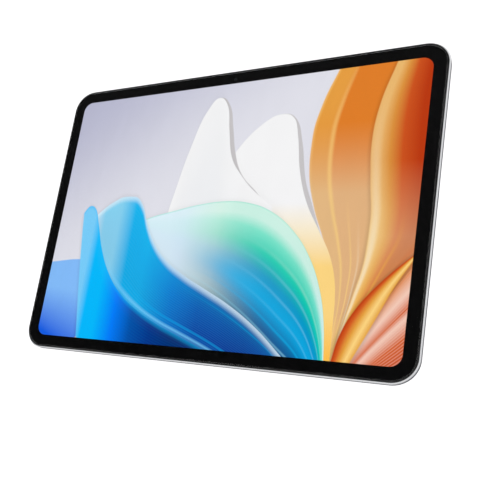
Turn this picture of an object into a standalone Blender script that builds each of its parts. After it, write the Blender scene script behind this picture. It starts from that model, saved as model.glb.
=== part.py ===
"""Tablet computer lying on its back, screen up.

Every sub-part is one named object, in metres. X runs along the long side, +Y points to the long
side that holds the front camera, +Z is up. The origin is at the middle of the bounding box's
base: the face of the rear camera's ring, which stands proud of the back.
"""

import math

import bmesh
import bpy

MM = 0.001
TABLET = "tablet_computer"
CUTTERS = "tablet_cutters"

# Overall sizes.
BODY_LENGTH = 257.8 * MM
BODY_WIDTH = 189.2 * MM
BODY_THICKNESS = 6.5 * MM
BODY_CORNER = 14.3 * MM
BACK_EDGE = 2.6 * MM
RIM_BEVEL = 0.85 * MM
RIM_WIDTH = 1.0 * MM
RIM_DROP = 0.2 * MM
WALL = 1.9 * MM
FLOOR = 0.8 * MM
POCKET_DEPTH = 1.7 * MM

# Clearances.
FIT = 0.3 * MM
SEAT = 0.1 * MM
KEY_PLAY = 0.12 * MM
ROUND_END = 0.499

# Screen.
BORDER = 7.45 * MM
PICTURE_CORNER = 6.4 * MM
PANEL_MARGIN = 1.2 * MM
GASKET_WIDTH = 0.45 * MM
GLASS_THICKNESS = 0.7 * MM
GLASS_EDGE = 1.0 * MM
GLASS_EDGE_FALL = 0.5 * MM
MASK_THICKNESS = 0.1 * MM
PANEL_THICKNESS = 0.55 * MM
BACKLIGHT_THICKNESS = 0.6 * MM
TRAY_SHEET = 0.15 * MM
TAPE_THICKNESS = 0.15 * MM
PLATE_THICKNESS = 0.35 * MM
FLEX_THICKNESS = 0.12 * MM
FLEX_LENGTH = 60.0 * MM
FLEX_BULGE = 0.75 * MM
DRIVER_BOARD_LENGTH = 96.0 * MM
DRIVER_BOARD_WIDTH = 6.0 * MM

# Battery.
CELL_TOP_STRIP = 24.0 * MM
CELL_LOW_STRIP = 11.4 * MM
CELL_CORNER = 2.0 * MM
CELL_EDGE = 0.5 * MM
CELL_SPACE = 1.6 * MM
PROTECTION_BOARD_WIDTH = 5.0 * MM

# Boards.
BOARD_THICKNESS = 0.8 * MM
BOARD_LIFT = 0.5 * MM
BOARD_CORNER = 1.0 * MM
BOARD_SPACE = 4.2 * MM
MAIN_STRIP = 17.0 * MM
MAIN_OFFSET = 26.0 * MM
MAIN_ABOVE_BATTERY = 3.3 * MM
USB_STRIP = 9.5 * MM
USB_OFFSET = 20.0 * MM
SHIELD_HEIGHT = 1.0 * MM
PROCESSOR_SHIELD = (21.0 * MM, 24.0 * MM)
POWER_SHIELD = (21.0 * MM, 22.0 * MM)
RADIO_SHIELD = (14.0 * MM, 20.0 * MM)
SHIELD_SPACE = 3.0 * MM
RADIO_SPACE = 14.0 * MM
SPREADER_THICKNESS = 0.12 * MM
RIBBON_WIDTH = 6.0 * MM
RIBBON_INSET = 8.0 * MM
CONNECTOR_LENGTH = 7.0 * MM
CONNECTOR_WIDTH = 3.2 * MM
CONNECTOR_HEIGHT = 0.8 * MM

# Heights of the features in the side walls.
SIDE_HEIGHT = 3.0 * MM

# Socket in the right side for the charging plug.
PORT_Y = 5.5 * MM
PORT_WIDTH = 8.34 * MM
PORT_HEIGHT = 2.56 * MM
PORT_SHEET = 0.25 * MM
PORT_DEPTH = 6.8 * MM
TONGUE_WIDTH = 6.7 * MM
TONGUE_THICKNESS = 0.7 * MM
TONGUE_LENGTH = 4.6 * MM
TONGUE_CORNER = 0.4 * MM

# Card tray in the right side, and what ejects it.
CARD_TO_SPEAKER = 15.2 * MM
CARD_HEAD_WIDTH = 14.4 * MM
CARD_HEAD_HEIGHT = 0.9 * MM
CARD_CARRIER_WIDTH = 12.6 * MM
CARD_CARRIER_THICKNESS = 0.7 * MM
CARD_CARRIER_LENGTH = 15.0 * MM
CARD_HEAD_DEPTH = 1.5 * MM
CARD_WINDOW = 9.0 * MM
CARD_WINDOW_INSET = 1.6 * MM
CARD_WINDOW_CORNER = 0.6 * MM
EJECT_HOLE = 1.1 * MM
EJECT_HOLE_SPACE = 2.0 * MM
ROD_LENGTH = 16.0 * MM
ROD_WIDTH = 1.4 * MM
ROD_THICKNESS = 0.7 * MM
LEVER_WIDTH = 1.6 * MM
LEVER_THICKNESS = 0.5 * MM
LEVER_CORNER = 0.6 * MM
LEVER_PIN = 1.2 * MM
PIN_CLEARANCE = 0.08 * MM
SOCKET_SIDE = 0.6 * MM
SOCKET_FLOOR = 0.3 * MM

# Keys.
POWER_INSET = 19.3 * MM
POWER_LENGTH = 10.0 * MM
VOLUME_INSET = 44.9 * MM
VOLUME_LENGTH = 27.0 * MM
KEY_HEIGHT = 1.7 * MM
KEY_PROUD = 0.3 * MM
KEY_FLANGE = 0.5 * MM
KEY_FLANGE_LIP = 0.6 * MM
SWITCH_LENGTH = 3.4 * MM
SWITCH_DEPTH = 1.6 * MM
SWITCH_HEIGHT = 1.5 * MM
KEY_EDGE = 0.25 * MM
ROCKER_ROOM = 0.3 * MM
ROCKER_RIB = 0.6 * MM
BRACKET_PAD = 3.0 * MM
BRACKET_THICKNESS = 0.4 * MM

# Sound.
SPEAKER_TO_CAMERA = 0.7 * MM
SPEAKER_LENGTH = 21.0 * MM
SPEAKER_DEPTH = 17.0 * MM
SPEAKER_HEIGHT = 2.4 * MM
SPEAKER_CORNER = 1.5 * MM
SPEAKER_EDGE = 0.3 * MM
GRILLE_SLOTS = 5
GRILLE_SLOT = 2.4 * MM
GRILLE_PITCH = 3.5 * MM
GRILLE_HEIGHT = 1.1 * MM
MESH_THICKNESS = 0.2 * MM
MIC_HOLE = 1.0 * MM
MIC_LENGTH = 2.8 * MM
MIC_DEPTH = 1.4 * MM
MIC_HEIGHT = 1.0 * MM
TOP_MIC_INSET = 70.9 * MM
SIDE_MIC_TO_CARD = 3.8 * MM

# Cameras.
CAMERA_CORNER = 0.6 * MM
FRONT_CAMERA_BODY = 4.0 * MM
FRONT_LENS = 2.4 * MM
FRONT_CAMERA_INSET = 3.0 * MM
REAR_CAMERA_INSET = 17.2 * MM
REAR_CAMERA_BODY = 9.2 * MM
LENS_PROUD = 1.0 * MM
RING_DIAMETER = 13.0 * MM
RING_WALL = 1.3 * MM
RING_FLANGE = 1.0 * MM
RING_BEVEL = 0.3 * MM
RING_EDGE = 0.2 * MM
FLANGE_THICKNESS = 0.3 * MM
REAR_WINDOW_THICKNESS = 0.6 * MM
REAR_LENS_DIAMETER = 6.4 * MM
FLASH_DIAMETER = 4.0 * MM
FLASH_RIM = 0.5 * MM
FLASH_SPACE = 12.5 * MM

# Aerial window in the back, behind the charging side.
AERIAL_TO_SPEAKER = 13.2 * MM
AERIAL_WIDTH = 7.0 * MM
AERIAL_INSET = 9.0 * MM

# Screws.
SCREW_HEAD = 3.0 * MM
SCREW_HEAD_HEIGHT = 0.5 * MM
SCREW_SHAFT = 1.4 * MM
SCREW_SINK = 0.75 * MM
SCREW_EDGE = 0.15 * MM
BOSS_DIAMETER = 4.2 * MM
SCREW_INSET = 2.2 * MM
SCREW_END_INSET = 28.9 * MM
SCREW_MIDDLE = 50.0 * MM

# Levels, from the back upwards.
BACK_Z = LENS_PROUD
FLOOR_Z = BACK_Z + FLOOR
TOP_Z = BACK_Z + BODY_THICKNESS
RIM_Z = TOP_Z - RIM_DROP
POCKET_Z = TOP_Z - POCKET_DEPTH
GLASS_Z = TOP_Z - GLASS_THICKNESS
MASK_Z = GLASS_Z - SEAT - MASK_THICKNESS
PANEL_Z = MASK_Z - SEAT - PANEL_THICKNESS
BACKLIGHT_Z = PANEL_Z - SEAT - BACKLIGHT_THICKNESS
TRAY_Z = BACKLIGHT_Z - SEAT - TRAY_SHEET
PLATE_Z = TRAY_Z - SEAT - PLATE_THICKNESS
TAPE_Z = MASK_Z - SEAT - TAPE_THICKNESS
LEDGE_Z = TAPE_Z - SEAT
SIDE_Z = BACK_Z + SIDE_HEIGHT
BOARD_Z = FLOOR_Z + BOARD_LIFT
BOARD_TOP = BOARD_Z + BOARD_THICKNESS
SHIELD_Z = BOARD_TOP + SEAT

# Half sizes, from the outside inwards: (X, Y).
BODY_HALF = (BODY_LENGTH / 2, BODY_WIDTH / 2)
POCKET_HALF = tuple(half - RIM_WIDTH for half in BODY_HALF)
GLASS_HALF = tuple(half - GASKET_WIDTH for half in POCKET_HALF)
CAVITY_HALF = tuple(half - WALL for half in BODY_HALF)
FRAME_HALF = tuple(half - FIT for half in CAVITY_HALF)
PICTURE_HALF = tuple(half - BORDER for half in GLASS_HALF)
PANEL_HALF = tuple(half + PANEL_MARGIN for half in PICTURE_HALF)
TRAY_HALF = tuple(half + FIT + TRAY_SHEET for half in PANEL_HALF)
WELL_HALF = tuple(half + FIT for half in TRAY_HALF)

# Places along the sides.
REAR_CAMERA = (REAR_CAMERA_INSET - BODY_HALF[0], BODY_HALF[1] - REAR_CAMERA_INSET)
FLASH = (REAR_CAMERA[0] + FLASH_SPACE, REAR_CAMERA[1])
SPEAKER_END = REAR_CAMERA[1] - RING_DIAMETER / 2 - RING_FLANGE - SPEAKER_TO_CAMERA
SPEAKER_Y = SPEAKER_END - SPEAKER_LENGTH / 2
BOARD_TONGUE_HALF = SPEAKER_Y - SPEAKER_LENGTH / 2 - BOARD_SPACE
CARD_Y = CARD_TO_SPEAKER - SPEAKER_Y + SPEAKER_LENGTH / 2
EJECT_Y = CARD_Y - CARD_HEAD_WIDTH / 2 - EJECT_HOLE_SPACE
SIDE_MIC_Y = CARD_Y + CARD_HEAD_WIDTH / 2 + SIDE_MIC_TO_CARD
TOP_MIC_X = BODY_HALF[0] - TOP_MIC_INSET
POWER_Y = BODY_HALF[1] - POWER_INSET
VOLUME_X = VOLUME_INSET - BODY_HALF[0]
FRONT_LENS_PLACE = (0.0, PICTURE_HALF[1] + FRONT_CAMERA_INSET)
FRONT_CAMERA = (0.0, WELL_HALF[1] + FRONT_CAMERA_BODY / 2)
AERIAL = (BODY_HALF[0] - AERIAL_INSET, 0.0)
AERIAL_LENGTH = 2 * (SPEAKER_Y - SPEAKER_LENGTH / 2 - AERIAL_TO_SPEAKER)
DRIVER_BOARD_HALF = (DRIVER_BOARD_LENGTH / 2, DRIVER_BOARD_WIDTH / 2)
DRIVER_BOARD_Y = -TRAY_HALF[1] + 3 * FIT + DRIVER_BOARD_WIDTH / 2
MAIN_X = -CAVITY_HALF[0] + MAIN_OFFSET + MAIN_STRIP / 2
USB_X = CAVITY_HALF[0] - USB_OFFSET - USB_STRIP / 2
RIBBON_Y = RIBBON_INSET - CAVITY_HALF[1]
BOARD_LOW = RIBBON_Y - RIBBON_WIDTH / 2
CELL_LEFT = -CAVITY_HALF[0] + MAIN_OFFSET + MAIN_STRIP + 2 * FIT
CELL_RIGHT = CAVITY_HALF[0] - USB_OFFSET - USB_STRIP - 2 * FIT
CELL_LOW = CELL_LOW_STRIP - CAVITY_HALF[1]
CELL_HIGH = CAVITY_HALF[1] - CELL_TOP_STRIP
BATTERY_BOARD_Y = CELL_HIGH + FIT + PROTECTION_BOARD_WIDTH / 2
CONNECTOR_X = CELL_LEFT - 4 * FIT - CONNECTOR_LENGTH / 2


def collection(name):
    made = bpy.data.collections.new(name)
    bpy.context.scene.collection.children.link(made)
    return made


def clear_scene():
    for obj in list(bpy.data.objects):
        bpy.data.objects.remove(obj, do_unlink=True)


def finish(name, colour, roughness, metallic=0.0, alpha=1.0):
    """A Principled material in one colour."""
    material = bpy.data.materials.new(name)
    material.use_nodes = True
    shader = material.node_tree.nodes["Principled BSDF"]
    shader.inputs["Base Color"].default_value = (*colour, 1.0)
    shader.inputs["Roughness"].default_value = roughness
    shader.inputs["Metallic"].default_value = metallic
    shader.inputs["Alpha"].default_value = alpha
    return material


FINISHES = {
    "aluminium": ((0.62, 0.63, 0.65), 0.32, 1.0),
    "steel": ((0.55, 0.55, 0.56), 0.3, 1.0),
    "copper": ((0.70, 0.38, 0.22), 0.4, 1.0),
    "glass": ((0.02, 0.02, 0.025), 0.05, 0.0, 0.35),
    "picture": ((0.25, 0.45, 0.75), 0.2),
    "ink": ((0.006, 0.006, 0.007), 0.5),
    "light_sheet": ((0.9, 0.9, 0.88), 0.5),
    "black_plastic": ((0.02, 0.02, 0.02), 0.5),
    "grey_plastic": ((0.45, 0.46, 0.47), 0.5),
    "board": ((0.02, 0.10, 0.06), 0.5),
    "flex": ((0.30, 0.12, 0.02), 0.4),
    "cell": ((0.12, 0.12, 0.13), 0.35),
    "gauze": ((0.10, 0.10, 0.11), 0.6, 1.0),
    "lens": ((0.01, 0.02, 0.05), 0.03),
    "lamp": ((0.9, 0.85, 0.6), 0.3),
}


def new_object(name, bm, home):
    mesh = bpy.data.meshes.new(name)
    bmesh.ops.recalc_face_normals(bm, faces=bm.faces)
    bm.to_mesh(mesh)
    bm.free()
    obj = bpy.data.objects.new(name, mesh)
    home.objects.link(obj)
    return obj


def edges_at(bm, height):
    return [edge for edge in bm.edges if all(abs(v.co.z - height) < 1e-7 for v in edge.verts)]


def slab_mesh(size, corner=0.0, segments=6, low_edge=None, high_edge=None, stretch=1.0):
    """A block about its own middle, with rounded upright edges and, if asked, rounded rims.

    low_edge and high_edge are (radius, segments). A stretch above 1 makes the rims that many
    times wider than they are tall."""
    bm = bmesh.new()
    bmesh.ops.create_cube(bm, size=1.0)
    height_made = size[2] * stretch
    bmesh.ops.scale(bm, vec=(size[0], size[1], height_made), verts=bm.verts)
    if corner > 0:
        upright = [e for e in bm.edges if abs(e.verts[0].co.z - e.verts[1].co.z) > size[2] / 2]
        bmesh.ops.bevel(
            bm, geom=upright, offset=corner, segments=segments, profile=0.5, affect="EDGES",
            clamp_overlap=True,
        )
    for rim, height in ((low_edge, -height_made / 2), (high_edge, height_made / 2)):
        if rim:
            bmesh.ops.bevel(
                bm,
                geom=edges_at(bm, height),
                offset=rim[0],
                segments=rim[1],
                profile=0.5,
                affect="EDGES",
                clamp_overlap=True,
            )
    bmesh.ops.scale(bm, vec=(1.0, 1.0, 1.0 / stretch), verts=bm.verts)
    return bm


def make_slab(home, name, centre, size, **rounding):
    """A rounded block whose middle is at centre."""
    obj = new_object(name, slab_mesh(size, **rounding), home)
    obj.location = centre
    return obj


def make_layer(home, name, half, bottom, top, centre=(0.0, 0.0), **rounding):
    """A rounded block between two heights; half is its half size in X and Y."""
    middle = (centre[0], centre[1], (bottom + top) / 2)
    return make_slab(home, name, middle, (2 * half[0], 2 * half[1], top - bottom), **rounding)


def make_rod(home, name, centre, radius, length, axis="Z", segments=28):
    """A closed cylinder about centre, along a world axis."""
    bm = bmesh.new()
    bmesh.ops.create_cone(
        bm, cap_ends=True, segments=segments, radius1=radius, radius2=radius, depth=length
    )
    obj = new_object(name, bm, home)
    obj.location = centre
    obj.rotation_euler = {"X": (0, math.pi / 2, 0), "Y": (math.pi / 2, 0, 0), "Z": (0, 0, 0)}[axis]
    return obj


def make_turned(home, name, centre, profile, steps=40):
    """A piece turned about Z. profile holds (radius, height) points, down the outer side."""
    mesh = bpy.data.meshes.new(name)
    points = [(radius, 0.0, height) for radius, height in profile]
    ends = range(len(points)) if profile[0][0] > 0 else range(len(points) - 1)
    mesh.from_pydata(points, [(i, (i + 1) % len(points)) for i in ends], [])
    obj = bpy.data.objects.new(name, mesh)
    home.objects.link(obj)
    obj.location = centre
    screw = obj.modifiers.new("turn", "SCREW")
    screw.steps = steps
    screw.render_steps = steps
    screw.use_merge_vertices = True
    screw.merge_threshold = 0.00001
    return obj


def smooth(obj, angle=35.0):
    if obj.type == "MESH" and obj.data.polygons:
        obj.data.shade_smooth()
        obj.data.set_sharp_from_angle(angle=math.radians(angle))


class Builder:
    """Puts each sub-part and each cutter in its collection."""

    def __init__(self):
        self.home = collection(TABLET)
        self.cutters = collection(CUTTERS)
        self.root = bpy.data.objects.new("tablet_origin", None)
        self.home.objects.link(self.root)

    def part(self, obj, look, joint_point=None):
        """Gives a sub-part its finish and its parent, and its origin at its joint."""
        values = FINISHES[look]
        obj.data.materials.append(finish(obj.name + "_" + look, *values))
        if joint_point is not None:
            shift = [obj.location[i] - joint_point[i] for i in range(3)]
            for vertex in obj.data.vertices:
                vertex.co = [vertex.co[i] + shift[i] for i in range(3)]
            obj.location = joint_point
        smooth(obj)
        obj.parent = self.root
        return obj

    def layer(self, name, look, half, bottom, top, centre=(0.0, 0.0), **rounding):
        return self.part(make_layer(self.home, name, half, bottom, top, centre, **rounding), look)

    def rod(self, name, look, centre, radius, length, axis="Z", segments=28):
        return self.part(make_rod(self.home, name, centre, radius, length, axis, segments), look)

    def turned(self, name, look, centre, profile, steps=40):
        return self.part(make_turned(self.home, name, centre, profile, steps), look)

    def hide_cutter(self, obj):
        obj.hide_render = True
        obj.display_type = "WIRE"
        return obj

    def cut(self, target, *tools, operation="DIFFERENCE"):
        """Cuts each tool from the target, or joins it, and leaves the tool as a hidden wire."""
        for tool in tools:
            self.hide_cutter(tool)
            modifier = target.modifiers.new(operation.lower() + "_" + tool.name, "BOOLEAN")
            modifier.operation = operation
            modifier.solver = "EXACT"
            modifier.object = tool
        return target

    def box_tool(self, name, half, bottom, top, centre=(0.0, 0.0), **rounding):
        return make_layer(self.cutters, "cut_" + name, half, bottom, top, centre, **rounding)

    def rod_tool(self, name, centre, radius, length, axis="Z", segments=28):
        return make_rod(self.cutters, "cut_" + name, centre, radius, length, axis, segments)

    def pill_tool(self, name, centre, width, height, depth, axis):
        """A slot with round ends, through a side wall that faces along axis."""
        tool = make_slab(
            self.cutters, "cut_" + name, centre, (width, height, depth),
            corner=ROUND_END * height, segments=5,
        )
        tool.rotation_euler = {"X": (math.pi / 2, 0, math.pi / 2), "Y": (math.pi / 2, 0, 0)}[axis]
        return tool


def grille_centres(sign):
    first = sign * SPEAKER_Y - GRILLE_PITCH * (GRILLE_SLOTS - 1) / 2
    return [first + GRILLE_PITCH * index for index in range(GRILLE_SLOTS)]


def grille_half():
    return GRILLE_PITCH * (GRILLE_SLOTS - 1) / 2 + GRILLE_SLOT / 2 + FIT


def screw_places():
    """Six screws in the long sides, clear of the volume key."""
    across = BODY_HALF[1] - WALL - SCREW_INSET - FIT
    end = BODY_HALF[0] - SCREW_END_INSET
    top = [(-SCREW_MIDDLE, across), (SCREW_MIDDLE, across), (end, across)]
    return top + [(x, -across) for x in (-end, 0.0, end)]


def make_rear_cover(b):
    """One metal shell: floor, side walls, screw bosses, and every opening in them."""
    cover = b.layer(
        "rear_cover", "aluminium", BODY_HALF, BACK_Z, RIM_Z,
        corner=BODY_CORNER, segments=14, low_edge=(BACK_EDGE, 6), high_edge=(RIM_BEVEL, 1),
    )
    cavity = b.box_tool("cavity", CAVITY_HALF, FLOOR_Z, TOP_Z, corner=BODY_CORNER - WALL, segments=10)
    pocket = b.box_tool("pocket", POCKET_HALF, POCKET_Z, TOP_Z, corner=BODY_CORNER - RIM_WIDTH, segments=14)
    b.cut(cover, cavity, pocket)
    for index, (x, y) in enumerate(screw_places()):
        boss_top = PLATE_Z - SEAT
        boss = b.rod_tool(
            f"boss_{index}", (x, y, (boss_top + BACK_Z) / 2 + FLOOR / 4), BOSS_DIAMETER / 2,
            boss_top - BACK_Z - FLOOR / 2, segments=20,
        )
        b.cut(cover, boss, operation="UNION")
        hole_bottom = FLOOR_Z + FIT
        b.cut(cover, b.rod_tool(
            f"boss_hole_{index}", (x, y, (hole_bottom + TOP_Z) / 2), SCREW_SHAFT / 2 + FIT / 2,
            TOP_Z - hole_bottom, segments=16,
        ))
    b.cut(
        cover,
        b.rod_tool(
            "camera_hole", (*REAR_CAMERA, FLOOR_Z), (RING_DIAMETER + FIT) / 2, 2 * FLOOR + FIT, segments=40,
        ),
        b.rod_tool("flash_hole", (*FLASH, FLOOR_Z), (FLASH_DIAMETER + FIT) / 2, 2 * FLOOR + FIT),
        b.box_tool(
            "aerial", (AERIAL_WIDTH / 2 + SEAT, AERIAL_LENGTH / 2 + SEAT), BACK_Z - FLOOR, FLOOR_Z + FLOOR,
            centre=AERIAL, corner=AERIAL_WIDTH / 2, segments=8,
        ),
    )
    wall_middle = BODY_HALF[0] - WALL / 2
    wall_cut = 2 * WALL
    b.cut(cover, b.pill_tool(
        "port", (wall_middle, PORT_Y, SIDE_Z), PORT_WIDTH + 2 * PORT_SHEET + 2 * SEAT,
        PORT_HEIGHT + 2 * PORT_SHEET + 2 * SEAT, wall_cut, "X",
    ))
    b.cut(cover, b.pill_tool(
        "card_slot", (wall_middle, CARD_Y, SIDE_Z), CARD_HEAD_WIDTH + 2 * SEAT,
        CARD_HEAD_HEIGHT + 2 * SEAT, wall_cut, "X",
    ))
    b.cut(cover, b.rod_tool("eject_hole", (wall_middle, EJECT_Y, SIDE_Z), EJECT_HOLE / 2, wall_cut, "X", 16))
    for side, x in (("left", -wall_middle), ("right", wall_middle)):
        for sign, end in ((1, "upper"), (-1, "lower")):
            for slot, y in enumerate(grille_centres(sign)):
                b.cut(cover, b.pill_tool(
                    f"grille_{side}_{end}_{slot}", (x, y, SIDE_Z), GRILLE_SLOT, GRILLE_HEIGHT, wall_cut, "X"
                ))
    top_middle = BODY_HALF[1] - WALL / 2
    for name, place, axis in (
        ("top_mic_hole", (TOP_MIC_X, top_middle, SIDE_Z), "Y"),
        ("side_mic_hole", (wall_middle, SIDE_MIC_Y, SIDE_Z), "X"),
    ):
        b.cut(cover, b.rod_tool(name, place, MIC_HOLE / 2, wall_cut, axis, 16))
    b.cut(cover, b.pill_tool(
        "power_slot", (-wall_middle, POWER_Y, SIDE_Z), POWER_LENGTH + 2 * KEY_PLAY,
        KEY_HEIGHT + 2 * KEY_PLAY, wall_cut, "X",
    ))
    b.cut(cover, b.pill_tool(
        "volume_slot", (VOLUME_X, top_middle, SIDE_Z), VOLUME_LENGTH + 2 * KEY_PLAY,
        KEY_HEIGHT + 2 * KEY_PLAY, wall_cut, "Y",
    ))
    return cover


def make_back_trims(b):
    """The plastic aerial window in the back, with a flange inside."""
    window = b.layer(
        "antenna_window", "grey_plastic", (AERIAL_WIDTH / 2, AERIAL_LENGTH / 2),
        BACK_Z, FLOOR_Z + SEAT + FLANGE_THICKNESS / 2,
        centre=AERIAL, corner=AERIAL_WIDTH / 2 - SEAT, segments=8,
    )
    flange = b.box_tool(
        "aerial_flange", (AERIAL_WIDTH / 2 + 2 * FIT, AERIAL_LENGTH / 2 + 2 * FIT),
        FLOOR_Z + SEAT, FLOOR_Z + SEAT + FLANGE_THICKNESS,
        centre=AERIAL, corner=AERIAL_WIDTH / 2, segments=8,
    )
    b.cut(window, flange, operation="UNION")


def make_screen(b):
    glass_corner = BODY_CORNER - RIM_WIDTH - GASKET_WIDTH
    b.layer(
        "cover_glass", "glass", GLASS_HALF, GLASS_Z, TOP_Z,
        corner=glass_corner, segments=14, high_edge=(GLASS_EDGE, 5), stretch=GLASS_EDGE / GLASS_EDGE_FALL,
    )
    gasket_half = tuple(half - SEAT for half in POCKET_HALF)
    gasket = b.layer(
        "glass_trim", "black_plastic", gasket_half, POCKET_Z + SEAT, RIM_Z - SEAT,
        corner=BODY_CORNER - RIM_WIDTH - SEAT, segments=14,
    )
    b.cut(gasket, b.box_tool(
        "gasket_inside", tuple(half + SEAT for half in GLASS_HALF), POCKET_Z - SEAT, TOP_Z,
        corner=glass_corner + SEAT, segments=14,
    ))
    mask_half = tuple(half - FIT for half in GLASS_HALF)
    mask = b.layer(
        "border_mask", "ink", mask_half, MASK_Z, MASK_Z + MASK_THICKNESS,
        corner=glass_corner - FIT, segments=10,
    )
    b.cut(mask, b.box_tool(
        "picture_opening", PICTURE_HALF, MASK_Z - SEAT / 2, GLASS_Z, corner=PICTURE_CORNER, segments=8,
    ))
    b.cut(mask, b.rod_tool(
        "mask_lens_hole", (*FRONT_LENS_PLACE, MASK_Z), FRONT_LENS / 2, 4 * MASK_THICKNESS, segments=20,
    ))
    b.layer(
        "display_panel", "picture", PANEL_HALF, PANEL_Z, PANEL_Z + PANEL_THICKNESS,
        corner=PICTURE_CORNER, segments=6,
    )
    b.layer(
        "backlight_unit", "light_sheet", PANEL_HALF, BACKLIGHT_Z, BACKLIGHT_Z + BACKLIGHT_THICKNESS,
        corner=PICTURE_CORNER, segments=6,
    )
    tray_wall_top = BACKLIGHT_Z + BACKLIGHT_THICKNESS
    tray = b.layer(
        "backlight_tray", "steel", TRAY_HALF, TRAY_Z, tray_wall_top,
        corner=PICTURE_CORNER + FIT + TRAY_SHEET, segments=6,
    )
    b.cut(tray, b.box_tool(
        "tray_inside", tuple(half - TRAY_SHEET for half in TRAY_HALF), TRAY_Z + TRAY_SHEET, TOP_Z,
        corner=PICTURE_CORNER + FIT, segments=6,
    ))
    tape_inside = tuple(half + FIT for half in PANEL_HALF)
    tape = b.layer(
        "display_adhesive", "black_plastic", tuple(half - FIT for half in FRAME_HALF),
        TAPE_Z, TAPE_Z + TAPE_THICKNESS, corner=BODY_CORNER - WALL - 2 * FIT, segments=8,
    )
    b.cut(tape, b.box_tool(
        "tape_inside", tuple(half + PANEL_MARGIN for half in tape_inside), TAPE_Z - SEAT, TOP_Z,
        corner=PICTURE_CORNER + PANEL_MARGIN, segments=6,
    ))
    b.cut(tape, b.rod_tool(
        "tape_lens_hole", (*FRONT_LENS_PLACE, TAPE_Z), FRONT_LENS / 2 + FIT, 6 * TAPE_THICKNESS, segments=20,
    ))


def make_mid_frame(b):
    """The plate that carries the screen on a raised ledge and closes the space for the boards."""
    frame = b.layer(
        "mid_frame", "aluminium", FRAME_HALF, PLATE_Z, LEDGE_Z,
        corner=BODY_CORNER - WALL - FIT, segments=8,
    )
    b.cut(frame, b.box_tool(
        "well", WELL_HALF, PLATE_Z + PLATE_THICKNESS, TOP_Z, corner=PICTURE_CORNER + 3 * FIT, segments=6,
    ))
    camera_half = FRONT_CAMERA_BODY / 2 + FIT
    b.cut(frame, b.box_tool(
        "frame_camera_hole", (camera_half, camera_half), PLATE_Z - SEAT, TOP_Z, centre=FRONT_CAMERA,
    ))
    port_half_width = PORT_WIDTH / 2 + PORT_SHEET + FIT
    edge = BODY_HALF[0]
    notch = PORT_DEPTH + FIT
    b.cut(frame, b.box_tool(
        "frame_port", (notch, port_half_width), FLOOR_Z, SIDE_Z + PORT_HEIGHT / 2 + PORT_SHEET + FIT,
        centre=(edge, PORT_Y),
    ))
    key_room = WALL + KEY_FLANGE + SWITCH_DEPTH + 4 * FIT
    key_top = SIDE_Z + KEY_HEIGHT / 2 + KEY_FLANGE_LIP + FIT
    b.cut(frame, b.box_tool(
        "frame_power", (key_room, POWER_LENGTH / 2 + KEY_FLANGE_LIP + FIT), FLOOR_Z, key_top,
        centre=(-edge, POWER_Y),
    ))
    b.cut(frame, b.box_tool(
        "frame_volume", (VOLUME_LENGTH / 2 + KEY_FLANGE_LIP + FIT, key_room), FLOOR_Z, key_top,
        centre=(VOLUME_X, BODY_HALF[1]),
    ))
    for sx in (-1, 1):
        for sy in (-1, 1):
            b.cut(frame, b.box_tool(
                f"frame_mesh_{sx}_{sy}", (WALL + MESH_THICKNESS + 2 * FIT, grille_half() + FIT), FLOOR_Z,
                SIDE_Z + GRILLE_HEIGHT / 2 + FIT, centre=(sx * edge, sy * SPEAKER_Y),
            ))
    window = DRIVER_BOARD_HALF
    b.cut(frame, b.box_tool(
        "driver_window", (window[0] + FIT, window[1] + FIT),
        PLATE_Z - SEAT, PLATE_Z + PLATE_THICKNESS + SEAT,
        centre=(0.0, DRIVER_BOARD_Y),
    ))
    slot_inner = DRIVER_BOARD_Y - window[1]
    slot_outer = -TRAY_HALF[1] - SEAT - FLEX_BULGE - FLEX_THICKNESS - FIT
    b.cut(frame, b.box_tool(
        "flex_slot", (FLEX_LENGTH / 2 + FIT, (slot_inner - slot_outer) / 2), PLATE_Z - SEAT, TOP_Z,
        centre=(0.0, (slot_inner + slot_outer) / 2),
    ))
    for index, (x, y) in enumerate(screw_places()):
        seat = LEDGE_Z - SCREW_SINK
        b.cut(frame, b.rod_tool(
            f"screw_seat_{index}", (x, y, (seat + TOP_Z) / 2), (SCREW_HEAD + FIT) / 2, TOP_Z - seat,
            segments=20,
        ))
        b.cut(frame, b.rod_tool(
            f"screw_hole_{index}", (x, y, LEDGE_Z), (SCREW_SHAFT + FIT) / 2, 4 * POCKET_DEPTH, segments=16,
        ))


def make_display_electronics(b):
    """The driver board in the plate's window, and the flex that folds round to the panel's edge."""
    half = DRIVER_BOARD_HALF
    b.layer(
        "display_driver_board", "board", half, PLATE_Z, PLATE_Z + PLATE_THICKNESS,
        centre=(0.0, DRIVER_BOARD_Y),
    )
    low = PLATE_Z + PLATE_THICKNESS / 2
    high = PANEL_Z + PANEL_THICKNESS / 2
    radius = (high - low) / 2
    start = DRIVER_BOARD_Y - half[1] - SEAT
    bend = -TRAY_HALF[1] - SEAT
    end = -PANEL_HALF[1] - SEAT
    path = [(start, low)]
    for step in range(9):
        turn = math.pi * step / 8
        path.append((bend - FLEX_BULGE * math.sin(turn), (low + high) / 2 - radius * math.cos(turn)))
    path.append((end, high))
    bm = bmesh.new()
    rows = [[bm.verts.new((x, y, z)) for x in (-FLEX_LENGTH / 2, FLEX_LENGTH / 2)] for y, z in path]
    for here, there in zip(rows, rows[1:]):
        bm.faces.new((here[0], there[0], there[1], here[1]))
    flex = new_object("display_flex", bm, b.home)
    skin = flex.modifiers.new("thickness", "SOLIDIFY")
    skin.thickness = FLEX_THICKNESS
    skin.offset = 0.0
    b.part(flex, "flex")


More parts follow.
